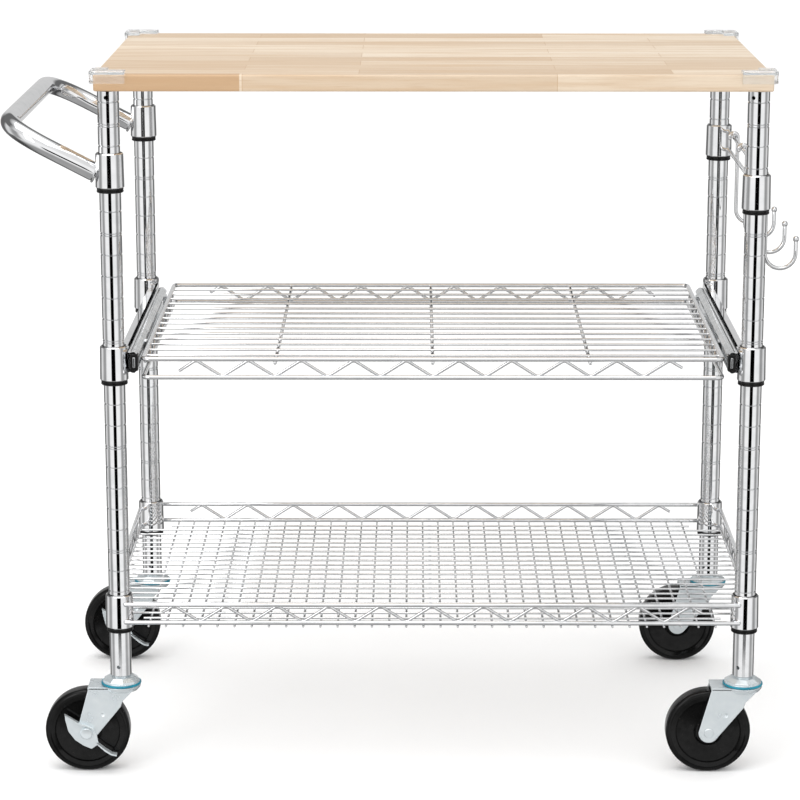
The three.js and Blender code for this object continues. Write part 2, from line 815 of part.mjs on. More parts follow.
// The flats of the faceted tread sit at the wheel's radius, one of them on the floor.
function wheelGeometry() {
  const stretch = 1 / Math.cos(Math.PI / wheelSides);
  const bore = (axleRadius + clearance) * boreStretch;
  const half = wheelWidth / 2;
  const shoulder = wheelRadius - wheelShoulder;
  const wheel = turned([
    [bore, half], [bore, -half], [shoulder * stretch, -half],
    [wheelRadius * stretch, -half + wheelShoulder], [wheelRadius * stretch, half - wheelShoulder],
    [shoulder * stretch, half], [bore, half],
  ], wheelSides);
  wheel.rotateX(Math.PI / 2);
  return wheel;
}

// Brake pedal: a pressed rocker on the outer face of the front leg, with a foot tab at its tail.
function pedalGeometry() {
  const yBack = -legOuter - clearance;
  const yFront = yBack - pedalSheet;
  const place = ([x, z]) => [x - casterTrail, z + wheelRadius];
  const rocker = [
    [-26, 24], [-25.5, 17], [-22, 2], [-14, -9], [-4, -16], [5.5, -20], [14, -14], [12, -3], [8, 5],
    [0, 9], [-8, 11],
  ].map(place);
  const tab = [
    [12, -11], [14, -14], [22, -21.5], [30, -26.5],
    [36, -27.5], [36, -25.5], [30.5, -24.5], [23, -19.5],
  ];
  return fuse(
    uprightPlate(rocker.reverse(), yFront, yBack),
    uprightPlate(tab.map(place), yFront - pedalTabWidth, yBack),
  );
}

for (const corner of corners) {
  const top = addNode(`caster_top_${corner.name}`, 'zinc', casterTopGeometry());
  const fork = addNode(`caster_fork_${corner.name}`, 'zinc', forkGeometry());
  const wheel = addNode(`caster_wheel_${corner.name}`, 'wheelBlack', wheelGeometry());
  top.position.set(corner.x, corner.y, 0);
  fork.position.set(corner.x, corner.y, 0);
  wheel.position.set(corner.x - casterTrail, corner.y, wheelRadius);
  if (corner.sideSign < 0) {
    const pedal = addNode(`brake_pedal_${corner.name}`, 'zinc', pedalGeometry());
    pedal.position.set(corner.x, corner.y, 0);
  }
}

// ---- origin at the middle of the whole object's footprint, on the floor ----
cart.updateMatrixWorld(true);
const extent = new THREE.Box3().setFromObject(cart, true);
const middle = extent.getCenter(new THREE.Vector3());
cart.position.set(-middle.x, -middle.y, -extent.min.z);
cart.updateMatrixWorld(true);

export default cart;
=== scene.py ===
import math

import bmesh
import bpy
from mathutils import Matrix, Vector


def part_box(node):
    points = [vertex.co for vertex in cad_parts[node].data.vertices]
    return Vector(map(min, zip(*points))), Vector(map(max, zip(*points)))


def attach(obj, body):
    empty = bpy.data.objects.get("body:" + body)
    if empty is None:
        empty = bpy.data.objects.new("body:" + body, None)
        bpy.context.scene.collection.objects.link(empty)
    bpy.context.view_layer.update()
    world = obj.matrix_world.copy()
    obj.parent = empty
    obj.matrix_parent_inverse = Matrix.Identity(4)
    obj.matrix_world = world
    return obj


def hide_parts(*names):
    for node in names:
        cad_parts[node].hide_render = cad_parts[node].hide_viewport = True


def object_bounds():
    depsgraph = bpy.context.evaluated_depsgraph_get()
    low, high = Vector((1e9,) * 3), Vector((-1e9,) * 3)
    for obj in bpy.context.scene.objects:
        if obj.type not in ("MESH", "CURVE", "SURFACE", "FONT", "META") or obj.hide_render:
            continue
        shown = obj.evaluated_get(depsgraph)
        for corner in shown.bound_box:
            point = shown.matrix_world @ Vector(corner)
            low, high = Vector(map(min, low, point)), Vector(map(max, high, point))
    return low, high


# A rolling kitchen cart: timber top, grooved chromed posts, wire shelves, hooks and casters.
# Metres, Z up, handle towards -X, front towards -Y.

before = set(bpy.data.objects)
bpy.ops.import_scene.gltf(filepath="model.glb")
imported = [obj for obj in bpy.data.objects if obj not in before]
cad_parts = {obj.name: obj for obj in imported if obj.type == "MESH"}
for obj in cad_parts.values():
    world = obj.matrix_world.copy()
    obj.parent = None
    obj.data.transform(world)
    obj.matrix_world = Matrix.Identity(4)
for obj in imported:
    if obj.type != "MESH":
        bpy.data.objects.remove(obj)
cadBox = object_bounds()
sideNames = ("left", "right")
faceNames = ("front", "rear")
cornerNames = [f"{face}_{side}" for face in faceNames for side in sideNames]


def middleOf(node):
    low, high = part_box(node)
    return (low + high) / 2


postAt = {corner: middleOf(f"post_{corner}") for corner in cornerNames}
cartX = (postAt["front_left"].x + postAt["front_right"].x) / 2
cartY = (postAt["front_left"].y + postAt["rear_left"].y) / 2
halfX = (postAt["front_right"].x - postAt["front_left"].x) / 2
halfY = (postAt["rear_left"].y - postAt["front_left"].y) / 2


def addObject(name, data):
    added = bpy.data.objects.new(name, data)
    bpy.context.scene.collection.objects.link(added)
    return added


# shapes: tube, turned, block and slab give (points, faces); rounded and arc give routes for them
bent = {"domeIn": (0.12, 0.45), "domeWidth": (0.62, 0.86), "leastLean": 0.7, "mostStretch": 1.08,
        "nearlyStraight": 0.02, "cornerShare": 0.48, "upright": 0.9}
onAxis = 1e-7
ontoY = Matrix.Rotation(-math.pi / 2, 3, "X")


def tube(route, radius, sides, closed=False):
    points = [Vector(p) for p in route]
    widths = [1] * len(points)
    if not closed:
        # both ends are slightly domed
        near, far = bent["domeIn"]
        narrow, wide = bent["domeWidth"]
        first = (points[1] - points[0]).normalized() * radius
        last = (points[-2] - points[-1]).normalized() * radius
        points[1:1] = [points[0] + first * near, points[0] + first * far]
        points[-1:-1] = [points[-1] + last * far, points[-1] + last * near]
        widths = [narrow, wide] + [1] * (len(points) - 4) + [wide, narrow]
    count = len(points)
    tangents = []
    for i in range(count):
        before = points[i - 1] if closed or i > 0 else points[i]
        after = points[(i + 1) % count] if closed or i < count - 1 else points[i]
        tangents.append((after - before).normalized())
    seed = Vector((0, 0, 1)) if abs(tangents[0].z) < bent["upright"] else Vector((0, 1, 0))
    across = (seed - tangents[0] * seed.dot(tangents[0])).normalized()
    rings = []
    for i in range(count):
        across = (across - tangents[i] * across.dot(tangents[i])).normalized()
        other = tangents[i].cross(across)
        # keeps the wire's width in a bend
        inward = 1
        if i < count - 1:
            inward = tangents[i].dot((points[i + 1] - points[i]).normalized())
        width = radius * widths[i] * min(1 / max(inward, bent["leastLean"]), bent["mostStretch"])
        ring = []
        for k in range(sides):
            turn = 2 * math.pi * k / sides
            ring.append(points[i] + (across * math.cos(turn) + other * math.sin(turn)) * width)
        rings.append(ring)
    verts = [v for ring in rings for v in ring]
    faces = []
    for i in range(count if closed else count - 1):
        nextRing = (i + 1) % count
        for k in range(sides):
            j = (k + 1) % sides
            faces.append((i * sides + k, i * sides + j, nextRing * sides + j, nextRing * sides + k))
    if not closed:
        faces.append(tuple(reversed(range(sides))))
        faces.append(tuple((count - 1) * sides + k for k in range(sides)))
    return verts, faces


def rounded(corners, radius, steps, closed=False):
    # a route with its corners rounded off
    points = [Vector(p) for p in corners]
    count = len(points)
    route = []
    for i, corner in enumerate(points):
        if not closed and i in (0, count - 1):
            route.append(corner)
            continue
        back = points[i - 1] - corner
        ahead = points[(i + 1) % count] - corner
        angle = back.angle(ahead)
        if math.pi - angle < bent["nearlyStraight"]:
            route.append(corner)
            continue
        share = bent["cornerShare"]
        reach = min(radius / math.tan(angle / 2), back.length * share, ahead.length * share)
        start = corner + back.normalized() * reach
        end = corner + ahead.normalized() * reach
        for k in range(steps + 1):
            t = k / steps
            route.append(start * (1 - t) ** 2 + corner * 2 * t * (1 - t) + end * t ** 2)
    return route


def turned(profile, centre, sides, spin=Matrix.Identity(3)):
    # profile of (radius, height) pairs, joined back to its start unless both ends are on the axis
    verts, faces, rings = [], [], []
    for radius, height in profile:
        if radius < onAxis:
            rings.append([len(verts)])
            verts.append(Vector((0, 0, height)))
        else:
            rings.append(list(range(len(verts), len(verts) + sides)))
            for k in range(sides):
                turn = 2 * math.pi * k / sides
                verts.append(Vector((radius * math.cos(turn), radius * math.sin(turn), height)))
    endsOnAxis = profile[0][0] < onAxis and profile[-1][0] < onAxis
    for i in range(len(rings) - (1 if endsOnAxis else 0)):
        a, b = rings[i], rings[(i + 1) % len(rings)]
        for k in range(sides):
            j = (k + 1) % sides
            if len(a) == 1 and len(b) == 1:
                continue
            if len(a) == 1:
                faces.append((a[0], b[j], b[k]))
            elif len(b) == 1:
                faces.append((a[k], a[j], b[0]))
            else:
                faces.append((a[k], a[j], b[j], b[k]))
    place = Vector(centre)
    return [spin @ v + place for v in verts], faces


def block(low, high):
    x0, y0, z0 = low
    x1, y1, z1 = high
    verts = [Vector((x, y, z)) for x in (x0, x1) for y in (y0, y1) for z in (z0, z1)]
    return verts, [(0, 1, 3, 2), (4, 6, 7, 5), (0, 4, 5, 1), (2, 3, 7, 6), (0, 2, 6, 4), (1, 5, 7, 3)]


def slab(outline, low, high, across="Z"):
    # an outline given a thickness: across Z it is drawn in X and Y, across Y in X and Z
    def put(a, b, t):
        return Vector((a, b, t)) if across == "Z" else Vector((a, t, b))
    count = len(outline)
    verts = [put(a, b, low) for a, b in outline] + [put(a, b, high) for a, b in outline]
    faces = [tuple(range(count)), tuple(range(2 * count - 1, count - 1, -1))]
    faces += [(i, i + count, (i + 1) % count + count, (i + 1) % count) for i in range(count)]
    return verts, faces


def arc(cx, cz, radius, fromDeg, toDeg, steps):
    turns = [math.radians(fromDeg + (toDeg - fromDeg) * k / steps) for k in range(steps + 1)]
    return [(cx + radius * math.cos(t), cz + radius * math.sin(t)) for t in turns]


def lifted(profile, height):
    return [(radius, height + z) for radius, z in profile]


def solidMesh(name, verts, faces):
    # a mesh whose faces all look outwards
    mesh = bpy.data.meshes.new(name)
    mesh.from_pydata(verts, [], faces)
    work = bmesh.new()
    work.from_mesh(mesh)
    bmesh.ops.recalc_face_normals(work, faces=work.faces)
    work.to_mesh(mesh)
    work.free()
    return mesh


softEdge = {"steps": 3, "fromDeg": 40}


def piece(name, shapes, material, body, stands=(), bevel=0, sharpDeg=35):
    # one visible piece: it rides on a body and stands in for the nodes named in stands
    verts, faces = [], []
    for shapeVerts, shapeFaces in shapes:
        faces += [tuple(index + len(verts) for index in face) for face in shapeFaces]
        verts += shapeVerts
    mesh = solidMesh(name, verts, faces)
    mesh.polygons.foreach_set("use_smooth", [True] * len(mesh.polygons))
    mesh.set_sharp_from_angle(angle=math.radians(sharpDeg))
    mesh.materials.append(material)
    made = addObject(name, mesh)
    if bevel:
        edge = made.modifiers.new("soft_edges", "BEVEL")
        edge.width = bevel
        edge.segments = softEdge["steps"]
        edge.limit_method = "ANGLE"
        edge.angle_limit = math.radians(softEdge["fromDeg"])
        edge.harden_normals = False
    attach(made, body)
    if stands:
        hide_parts(*stands)
    return made


def carve(target, shape):
    # takes one shape out of a finished piece
    tool = addObject("cutting_shape", solidMesh("cutting_shape", *shape))
    cut = target.modifiers.new("cut", "BOOLEAN")
    cut.operation = "DIFFERENCE"
    cut.object = tool
    bpy.context.view_layer.update()
    evaluated = target.evaluated_get(bpy.context.evaluated_depsgraph_get())
    result = bpy.data.meshes.new_from_object(evaluated)
    target.modifiers.clear()
    target.data = result
    bpy.data.objects.remove(tool)


# shader groups
def newGroup(name, inputs, outputs):
    group = bpy.data.node_groups.new(name, "ShaderNodeTree")
    for label, kind, value in inputs:
        socket = group.interface.new_socket(name=label, in_out="INPUT", socket_type=kind)
        socket.default_value = value
    for label, kind in outputs:
        group.interface.new_socket(name=label, in_out="OUTPUT", socket_type=kind)
    return group, group.nodes.new("NodeGroupInput"), group.nodes.new("NodeGroupOutput")


def addNode(tree, kind, **sockets):
    node = tree.nodes.new(kind)
    for label, value in sockets.items():
        node.inputs[label].default_value = value
    return node


def makeSmudgeGroup():
    # soft handling marks, broken up by fine speckle
    group, given, result = newGroup(
        "handlingMarks",
        [("Scale", "NodeSocketFloat", 14), ("Speckle", "NodeSocketFloat", 260)],
        [("Mask", "NodeSocketFloat"), ("Height", "NodeSocketFloat")],
    )
    link = group.links.new
    coords = addNode(group, "ShaderNodeTexCoord")
    cloud = addNode(group, "ShaderNodeTexNoise", Detail=4)
    speckle = addNode(group, "ShaderNodeTexNoise", Detail=2)
    both = addNode(group, "ShaderNodeMath")
    both.operation = "MULTIPLY"
    link(coords.outputs["Object"], cloud.inputs["Vector"])
    link(coords.outputs["Object"], speckle.inputs["Vector"])
    link(given.outputs["Scale"], cloud.inputs["Scale"])
    link(given.outputs["Speckle"], speckle.inputs["Scale"])
    link(cloud.outputs["Fac"], both.inputs[0])
    link(speckle.outputs["Fac"], both.inputs[1])
    link(both.outputs["Value"], result.inputs["Mask"])
    link(speckle.outputs["Fac"], result.inputs["Height"])
    return group


def makeDrawnGroup():
    # fine lines left by drawing or rolling, along the axis with the low stretch
    group, given, result = newGroup(
        "drawnLines",
        [("Stretch", "NodeSocketVector", (8, 400, 400)), ("Scale", "NodeSocketFloat", 1)],
        [("Lines", "NodeSocketFloat")],
    )
    link = group.links.new
    coords = addNode(group, "ShaderNodeTexCoord")
    mapping = addNode(group, "ShaderNodeMapping")
    noise = addNode(group, "ShaderNodeTexNoise", Detail=3)
    link(coords.outputs["Object"], mapping.inputs["Vector"])
    link(given.outputs["Stretch"], mapping.inputs["Scale"])
    link(mapping.outputs["Vector"], noise.inputs["Vector"])
    link(given.outputs["Scale"], noise.inputs["Scale"])
    link(noise.outputs["Fac"], result.inputs["Lines"])
    return group


smudgeGroup = makeSmudgeGroup()
drawnGroup = makeDrawnGroup()


def placeGroup(tree, group, **values):
    node = tree.nodes.new("ShaderNodeGroup")
    node.node_tree = group
    for label, value in values.items():
        node.inputs[label].default_value = value
    return node


def span(tree, source, low, high, fromLow, fromHigh):
    limits = {"From Min": fromLow, "From Max": fromHigh, "To Min": low, "To Max": high}
    node = addNode(tree, "ShaderNodeMapRange", **limits)
    tree.links.new(source, node.inputs["Value"])
    return node.outputs["Result"]


def mixed(tree, factor, first, second, way="MIX"):
    # first and second are colours or outputs; the factor goes from the first to the second
    node = tree.nodes.new("ShaderNodeMix")
    node.data_type = "RGBA"
    node.blend_type = way
    for label, value in (("A", first), ("B", second)):
        if isinstance(value, tuple):
            node.inputs[label].default_value = (*value, 1)
        else:
            tree.links.new(value, node.inputs[label])
    tree.links.new(factor, node.inputs["Factor"])
    return node.outputs["Result"]


def bumped(tree, shader, height, strength, distance):
    node = addNode(tree, "ShaderNodeBump", Strength=strength, Distance=distance)
    tree.links.new(height, node.inputs["Height"])
    tree.links.new(node.outputs["Normal"], shader.inputs["Normal"])


def newMaterial(name, **sockets):
    material = bpy.data.materials.new(name)
    material.use_nodes = True
    shader = material.node_tree.nodes["Principled BSDF"]
    for label, value in sockets.items():
        shader.inputs[label].default_value = value
    return material, material.node_tree, shader


# one entry for each finish that is made the same way
finishes = {
    "brightChrome": {"dull": (0.79, 0.80, 0.81), "clean": (0.90, 0.90, 0.91), "rough": (0.03, 0.075),
                     "metal": 1, "marks": 9, "speckle": 80, "bump": 0.012},
    "zincPlate": {"dull": (0.71, 0.77, 0.80), "clean": (0.80, 0.85, 0.87), "rough": (0.20, 0.30),
                  "metal": 0.62, "marks": 14, "speckle": 90, "bump": 0.012},
    "slideSteel": {"dull": (0.66, 0.68, 0.69), "clean": (0.86, 0.87, 0.88), "rough": (0.09, 0.18),
                   "metal": 1, "marks": 20, "speckle": 120, "bump": 0.03},
    "blackMoulding": {"dull": (0.004, 0.004, 0.004), "clean": (0.010, 0.010, 0.010), "rough": (0.2, 0.36),
                      "metal": 0, "shine": 0.25, "marks": 60, "speckle": 300, "bump": 0.08},
    "wheelBlack": {"dull": (0.002, 0.002, 0.002), "clean": (0.006, 0.006, 0.006), "rough": (0.05, 0.16),
                   "metal": 0, "shine": 0.2, "marks": 22, "speckle": 130, "bump": 0.03},
    "blueSeal": {"dull": (0.0, 0.14, 0.22), "clean": (0.01, 0.27, 0.37), "rough": (0.25, 0.4),
                 "metal": 0, "marks": 60, "speckle": 900, "bump": 0.05},
}
finishMarks = {"tint": (0.12, 0.40), "rough": (0.12, 0.42), "bumpDepth": 0.0002, "shine": 0.5}


def makeFinish(name, look):
    material, tree, shader = newMaterial(name, Metallic=look["metal"])
    shader.inputs["Specular IOR Level"].default_value = look.get("shine", finishMarks["shine"])
    marks = placeGroup(tree, smudgeGroup, Scale=look["marks"], Speckle=look["speckle"])
    mask = marks.outputs["Mask"]
    colour = mixed(tree, span(tree, mask, 0, 1, *finishMarks["tint"]), look["clean"], look["dull"])
    tree.links.new(colour, shader.inputs["Base Color"])
    tree.links.new(span(tree, mask, *look["rough"], *finishMarks["rough"]), shader.inputs["Roughness"])
    bumped(tree, shader, marks.outputs["Height"], look["bump"], finishMarks["bumpDepth"])
    return material


finish = {name: makeFinish(name, look) for name, look in finishes.items()}
chrome, zinc, blackPlastic = finish["brightChrome"], finish["zincPlate"], finish["blackMoulding"]
wheelBlack, blueSeal, slideSteel = finish["wheelBlack"], finish["blueSeal"], finish["slideSteel"]

timberLook = {
    "staveWidth": 0.043, "staveLength": 0.36, "slide": 0.048, "offset": 0.37, "warmShare": -0.15,
    "lineWidth": 0.00035, "lineSoft": 0.3,
    "firstEnd": cartX - 0.222, "firstBack": cartY - 0.215, "firstSoft": 0.0005,
    "pale": (0.69, 0.585, 0.46), "warm": (0.50, 0.365, 0.24), "first": (0.47, 0.30, 0.165),
    "line": (0.42, 0.27, 0.15), "grainDark": (0.50, 0.34, 0.20),
    "grainStretch": (5, 90, 130), "grainAmount": 0.6, "grainRange": (0.42, 0.7),
    "poreStretch": (24, 700, 700), "poreAmount": 0.4, "poreRange": (0.52, 0.75),
    "rough": (0.4, 0.58), "roughRange": (0.3, 0.7), "bump": 0.12, "bumpDepth": 0.0003,
    "coat": 0.12, "coatRough": 0.35,
}


def makeTimber(look):
    coat = {"Coat Weight": look["coat"], "Coat Roughness": look["coatRough"]}
    material, tree, shader = newMaterial("joinedTimber", **coat)
    nodes, link = tree.nodes, tree.links.new
    coords = nodes.new("ShaderNodeTexCoord")
    pattern = {
        "Color1": (*look["pale"], 1), "Color2": (*look["warm"], 1), "Mortar": (*look["line"], 1),
        "Scale": 1, "Mortar Size": look["lineWidth"], "Mortar Smooth": look["lineSoft"],
        "Bias": look["warmShare"], "Brick Width": look["staveLength"], "Row Height": look["staveWidth"],
    }
    staves = addNode(tree, "ShaderNodeTexBrick", **pattern)
    staves.offset = look["offset"]
    staves.offset_frequency = 2
    slid = addNode(tree, "ShaderNodeMapping", Location=(look["slide"], 0.0, 0.0))
    link(coords.outputs["Object"], slid.inputs["Vector"])
    link(slid.outputs["Vector"], staves.inputs["Vector"])
    # the left board of the front row is darker than the rest
    parts = nodes.new("ShaderNodeSeparateXYZ")
    link(coords.outputs["Object"], parts.inputs["Vector"])
    inRow = nodes.new("ShaderNodeMath")
    inRow.operation = "MULTIPLY"
    for k, (axis, end) in enumerate((("X", look["firstEnd"]), ("Y", look["firstBack"]))):
        link(span(tree, parts.outputs[axis], 1, 0, end, end + look["firstSoft"]), inRow.inputs[k])
    boards = mixed(tree, inRow.outputs["Value"], staves.outputs["Color"], look["first"])
    grain = placeGroup(tree, drawnGroup, Stretch=look["grainStretch"], Scale=1).outputs["Lines"]
    fine = placeGroup(tree, drawnGroup, Stretch=look["poreStretch"], Scale=1).outputs["Lines"]
    grainMask = span(tree, grain, 0, look["grainAmount"], *look["grainRange"])
    grained = mixed(tree, grainMask, boards, look["grainDark"])
    poreMask = span(tree, fine, 0, look["poreAmount"], *look["poreRange"])
    link(mixed(tree, poreMask, grained, look["line"]), shader.inputs["Base Color"])
    link(span(tree, grain, *look["rough"], *look["roughRange"]), shader.inputs["Roughness"])
    bumped(tree, shader, fine, look["bump"], look["bumpDepth"])
    return material


clearLook = {"ior": 1.36, "through": 0.94, "marks": 50, "speckle": 600, "clean": (1.0, 1.0, 1.0),
             "dull": (0.93, 0.95, 0.96), "rough": (0.04, 0.18), "range": (0.1, 0.45)}


def makeClear(look):
    material, tree, shader = newMaterial("clearMoulding", IOR=look["ior"])
    shader.inputs["Transmission Weight"].default_value = look["through"]
    mask = placeGroup(tree, smudgeGroup, Scale=look["marks"], Speckle=look["speckle"]).outputs["Mask"]
    colour = mixed(tree, span(tree, mask, 0, 1, *look["range"]), look["clean"], look["dull"])
    tree.links.new(colour, shader.inputs["Base Color"])
    tree.links.new(span(tree, mask, *look["rough"], *look["range"]), shader.inputs["Roughness"])
    return material


timber = makeTimber(timberLook)
clearPlastic = makeClear(clearLook)
print("finishes ready")


# posts
post = {"radius": 0.0127, "wall": 0.0014, "sides": 56, "endBevel": 0.0004, "sharpDeg": 24,
        "groovePitch": 0.0254, "firstGroove": 0.0124, "smoothBelow": 0.173, "grooveDepth": 0.0009,
        "grooveHalf": 0.0009, "grooveFlat": 0.35, "doubleEvery": 5, "doubleGap": 0.0027,
        "holeRadius": 0.0023, "holeCut": (0.006, 0.02), "holeSides": 20, "topHole": 0.007,
        "lowHole": 0.0115, "holeTurn": {"left": -7, "right": -36}}


def grooveHeights(top):
    heights = []
    row = 0
    z = top - post["firstGroove"]
    while z > post["smoothBelow"]:
        heights.append(z)
        if row % post["doubleEvery"] == 1:
            heights.append(z - post["doubleGap"])
        row += 1
        z -= post["groovePitch"]
    return heights


def makePost(corner):
    low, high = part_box(f"post_{corner}")
    outer, inner = post["radius"], post["radius"] - post["wall"]
    bevel = post["endBevel"]
    half = post["grooveHalf"]
    flat = half * post["grooveFlat"]
    floor = outer - post["grooveDepth"]
    profile = [(inner, low.z), (outer - bevel, low.z), (outer, low.z + bevel)]
    for z in sorted(grooveHeights(high.z)):
        profile += [(outer, z - half), (floor, z - flat), (floor, z + flat), (outer, z + half)]
    profile += [(outer, high.z), (inner, high.z)]
    at = postAt[corner]
    tubePiece = piece(f"grooved_post_{corner}", [turned(profile, (at.x, at.y, 0), post["sides"])],
                      chrome, "cart_frame", [f"post_{corner}"], sharpDeg=post["sharpDeg"])
    turn = math.radians(post["holeTurn"][corner.split("_")[1]] - 90)
    out = Vector((math.cos(turn), math.sin(turn), 0))
    for z in (high.z - post["topHole"], low.z + post["lowHole"]):
        cut = [Vector((at.x, at.y, z)) + out * distance for distance in post["holeCut"]]
        carve(tubePiece, tube(cut, post["holeRadius"], post["holeSides"]))


for corner in cornerNames:
    makePost(corner)
print("posts ready")


# collars and the split sleeves that they wedge on
collar = {"height": 0.041, "low": 0.0168, "top": 0.0162, "bore": 0.0150, "boreTop": 0.0144,
          "lip": 0.0012, "show": 0.005, "bevel": 0.0005}
sleeve = {"clear": 0.0002, "wide": 0.0156, "narrow": 0.0140, "edge": 0.0006, "beadTop": 0.0020,
          "groove": (0.0024, 0.0029), "grooveDepth": 0.0009, "taperFrom": 0.0033, "taperIn": 0.0001}


def makeCollar(level, corner, sleeveNode):
    low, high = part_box(sleeveNode)
    at = postAt[corner]
    z = low.z + collar["show"]
    lip, height = collar["lip"], collar["height"]
    profile = [(collar["bore"], z), (collar["low"] - lip, z), (collar["low"], z + lip),
               (collar["top"], z + height - lip), (collar["top"] - lip, z + height),
               (collar["boreTop"], z + height)]
    piece(f"collar_{level}_{corner}", [turned(profile, (at.x, at.y, 0), post["sides"])], chrome,
          "cart_frame", bevel=collar["bevel"])
    inner = post["radius"] + sleeve["clear"]
    wide, edge = sleeve["wide"], sleeve["edge"]
    groove = wide - sleeve["grooveDepth"]
    sleeveProfile = [
        (inner, low.z), (wide - edge, low.z), (wide, low.z + edge), (wide, low.z + sleeve["beadTop"]),
        (groove, low.z + sleeve["groove"][0]), (groove, low.z + sleeve["groove"][1]),
        (wide - sleeve["taperIn"], low.z + sleeve["taperFrom"]), (sleeve["narrow"], high.z),
        (inner, high.z),
    ]
    piece(f"split_{sleeveNode}", [turned(sleeveProfile, (at.x, at.y, 0), post["sides"])],
          blackPlastic, "cart_frame", [sleeveNode])
    return z


collarZ = {}
for corner in cornerNames:
    side = corner.split("_")[1]
    upper = "handle" if side == "left" else "rack"
    for level in (upper, "tray", "lower"):
        collarZ[level] = makeCollar(level, corner, f"sleeve_{level}_{corner}")
print("collars ready")


# worktop and corner guards
boardLow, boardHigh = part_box("worktop")
boardEdge = 0.0022
piece("timber_worktop", [block(boardLow, boardHigh)], timber, "cart_frame", ["worktop"],
      bevel=boardEdge)

guard = {"wall": 0.0042, "flange": 0.015, "leg": 0.041, "gap": 0.0003, "bevel": 0.00096,
         "cornerRound": 0.005, "legRound": 0.003, "legSquare": 0.002, "wallBelow": 0.0008}


def makeGuard(corner):
    low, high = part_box(f"corner_guard_{corner}")
    sx = 1 if "right" in corner else -1
    sy = 1 if "rear" in corner else -1
    edgeX = boardHigh.x if sx > 0 else boardLow.x
    edgeY = boardHigh.y if sy > 0 else boardLow.y
    out = guard["wall"] + guard["gap"]
    back = out - guard["leg"]
    turn = guard["cornerRound"]

    def ell(inner):
        bend = arc(out - turn, out - turn, turn, 0, 90, 5)
        along, square = back + guard["legRound"], out - guard["legSquare"]
        points = bend + [(along, out), (back, square), (back, inner), (inner, inner), (inner, back),
                         (square, back), (out, along)]
        return [(edgeX + sx * x, edgeY + sy * y) for x, y in points]

    wall = slab(ell(guard["gap"]), low.z, high.z - guard["wallBelow"])
    flange = slab(ell(-guard["flange"]), boardHigh.z + guard["gap"], high.z)
    clear = piece(f"clear_guard_{corner}", [wall, flange], clearPlastic, "cart_frame",
                  [f"corner_guard_{corner}"], bevel=guard["bevel"])
    clear.visible_shadow = False


for corner in cornerNames:
    makeGuard(corner)
print("worktop ready")


# push handle
handle = {"radius": 0.0111, "slopeDeg": 27.5, "reach": 0.1205, "rise": 0.009, "bend": 0.060,
          "start": 0.0165, "bendSteps": 18, "sides": 32}
handleWeld = {"at": 0.0180, "clear": 0.0002, "wave": 0.0003, "waves": 9, "steps": 40, "radius": 0.0015,
              "sides": 10}


def makeHandle():
    slope = math.radians(handle["slopeDeg"])
    run = handle["reach"] / math.cos(slope)
    origin = Vector((postAt["front_left"].x, 0, collarZ["handle"] + handle["rise"]))

    def place(distance, y):
        return Vector((origin.x - distance * math.cos(slope), y, origin.z + distance * math.sin(slope)))

    yFront, yRear = postAt["front_left"].y, postAt["rear_left"].y
    start = handle["start"]
    corners = [place(start, yFront), place(run, yFront), place(run, yRear), place(start, yRear)]
    route = rounded(corners, handle["bend"], handle["bendSteps"])
    piece("handle_tube", [tube(route, handle["radius"], handle["sides"])], chrome, "cart_frame",
          ["push_handle"])
    for y, name in ((yFront, "front"), (yRear, "rear")):
        centre = place(handleWeld["at"], y)
        bead = []
        for k in range(handleWeld["steps"]):
            turn = 2 * math.pi * k / handleWeld["steps"]
            wave = handleWeld["wave"] * math.sin(turn * handleWeld["waves"])
            wide = handle["radius"] + handleWeld["clear"] + wave
            up = Vector((math.sin(slope), 0, math.cos(slope))) * math.cos(turn) * wide
            bead.append(centre + up + Vector((0, math.sin(turn) * wide, 0)))
        shape = tube(bead, handleWeld["radius"], handleWeld["sides"], closed=True)
        piece(f"handle_weld_{name}", [shape], chrome, "cart_frame")


makeHandle()


# hook rack and hooks
rack = {"wire": 0.0026, "offset": 0.012, "railLow": 0.0094, "railGap": 0.024, "reachFromPost": 0.0108,
        "ballShare": 1.35, "ballIn": 0.001, "sides": 18}
hook = {"wire": 0.0023, "shank": 0.093, "bend": 0.018, "tip": 0.017, "ball": 0.0036, "clear": 0.0003,
        "curlDeg": 200, "curlSteps": 16, "bendSteps": 24, "startBall": 1.05, "sides": 18}
ball = {"endDeg": 80, "stepDeg": 16, "sides": 20}
railX = postAt["front_right"].x + rack["offset"]
railLowZ = collarZ["rack"] + rack["railLow"]
railTopZ = railLowZ + rack["railGap"]


def ballAt(centre, radius):
    turns = [math.radians(a) for a in range(-ball["endDeg"], ball["endDeg"] + 1, ball["stepDeg"])]
    profile = [(radius * math.cos(t), radius * math.sin(t)) for t in turns]
    return turned([(0, -radius), *profile, (0, radius)], centre, ball["sides"])


def makeRack():
    shapes = []
    yFront = postAt["front_right"].y + rack["reachFromPost"]
    yRear = postAt["rear_right"].y - rack["reachFromPost"]
    for z in (railLowZ, railTopZ):
        shapes.append(tube([(railX, yFront, z), (railX, yRear, z)], rack["wire"], rack["sides"]))
        for y in (yFront + rack["ballIn"], yRear - rack["ballIn"]):
            centre = (railX - rack["ballIn"], y, z)
            shapes.append(ballAt(centre, rack["wire"] * rack["ballShare"]))
    piece("rack_rails", shapes, chrome, "cart_frame", ["hook_rack"])


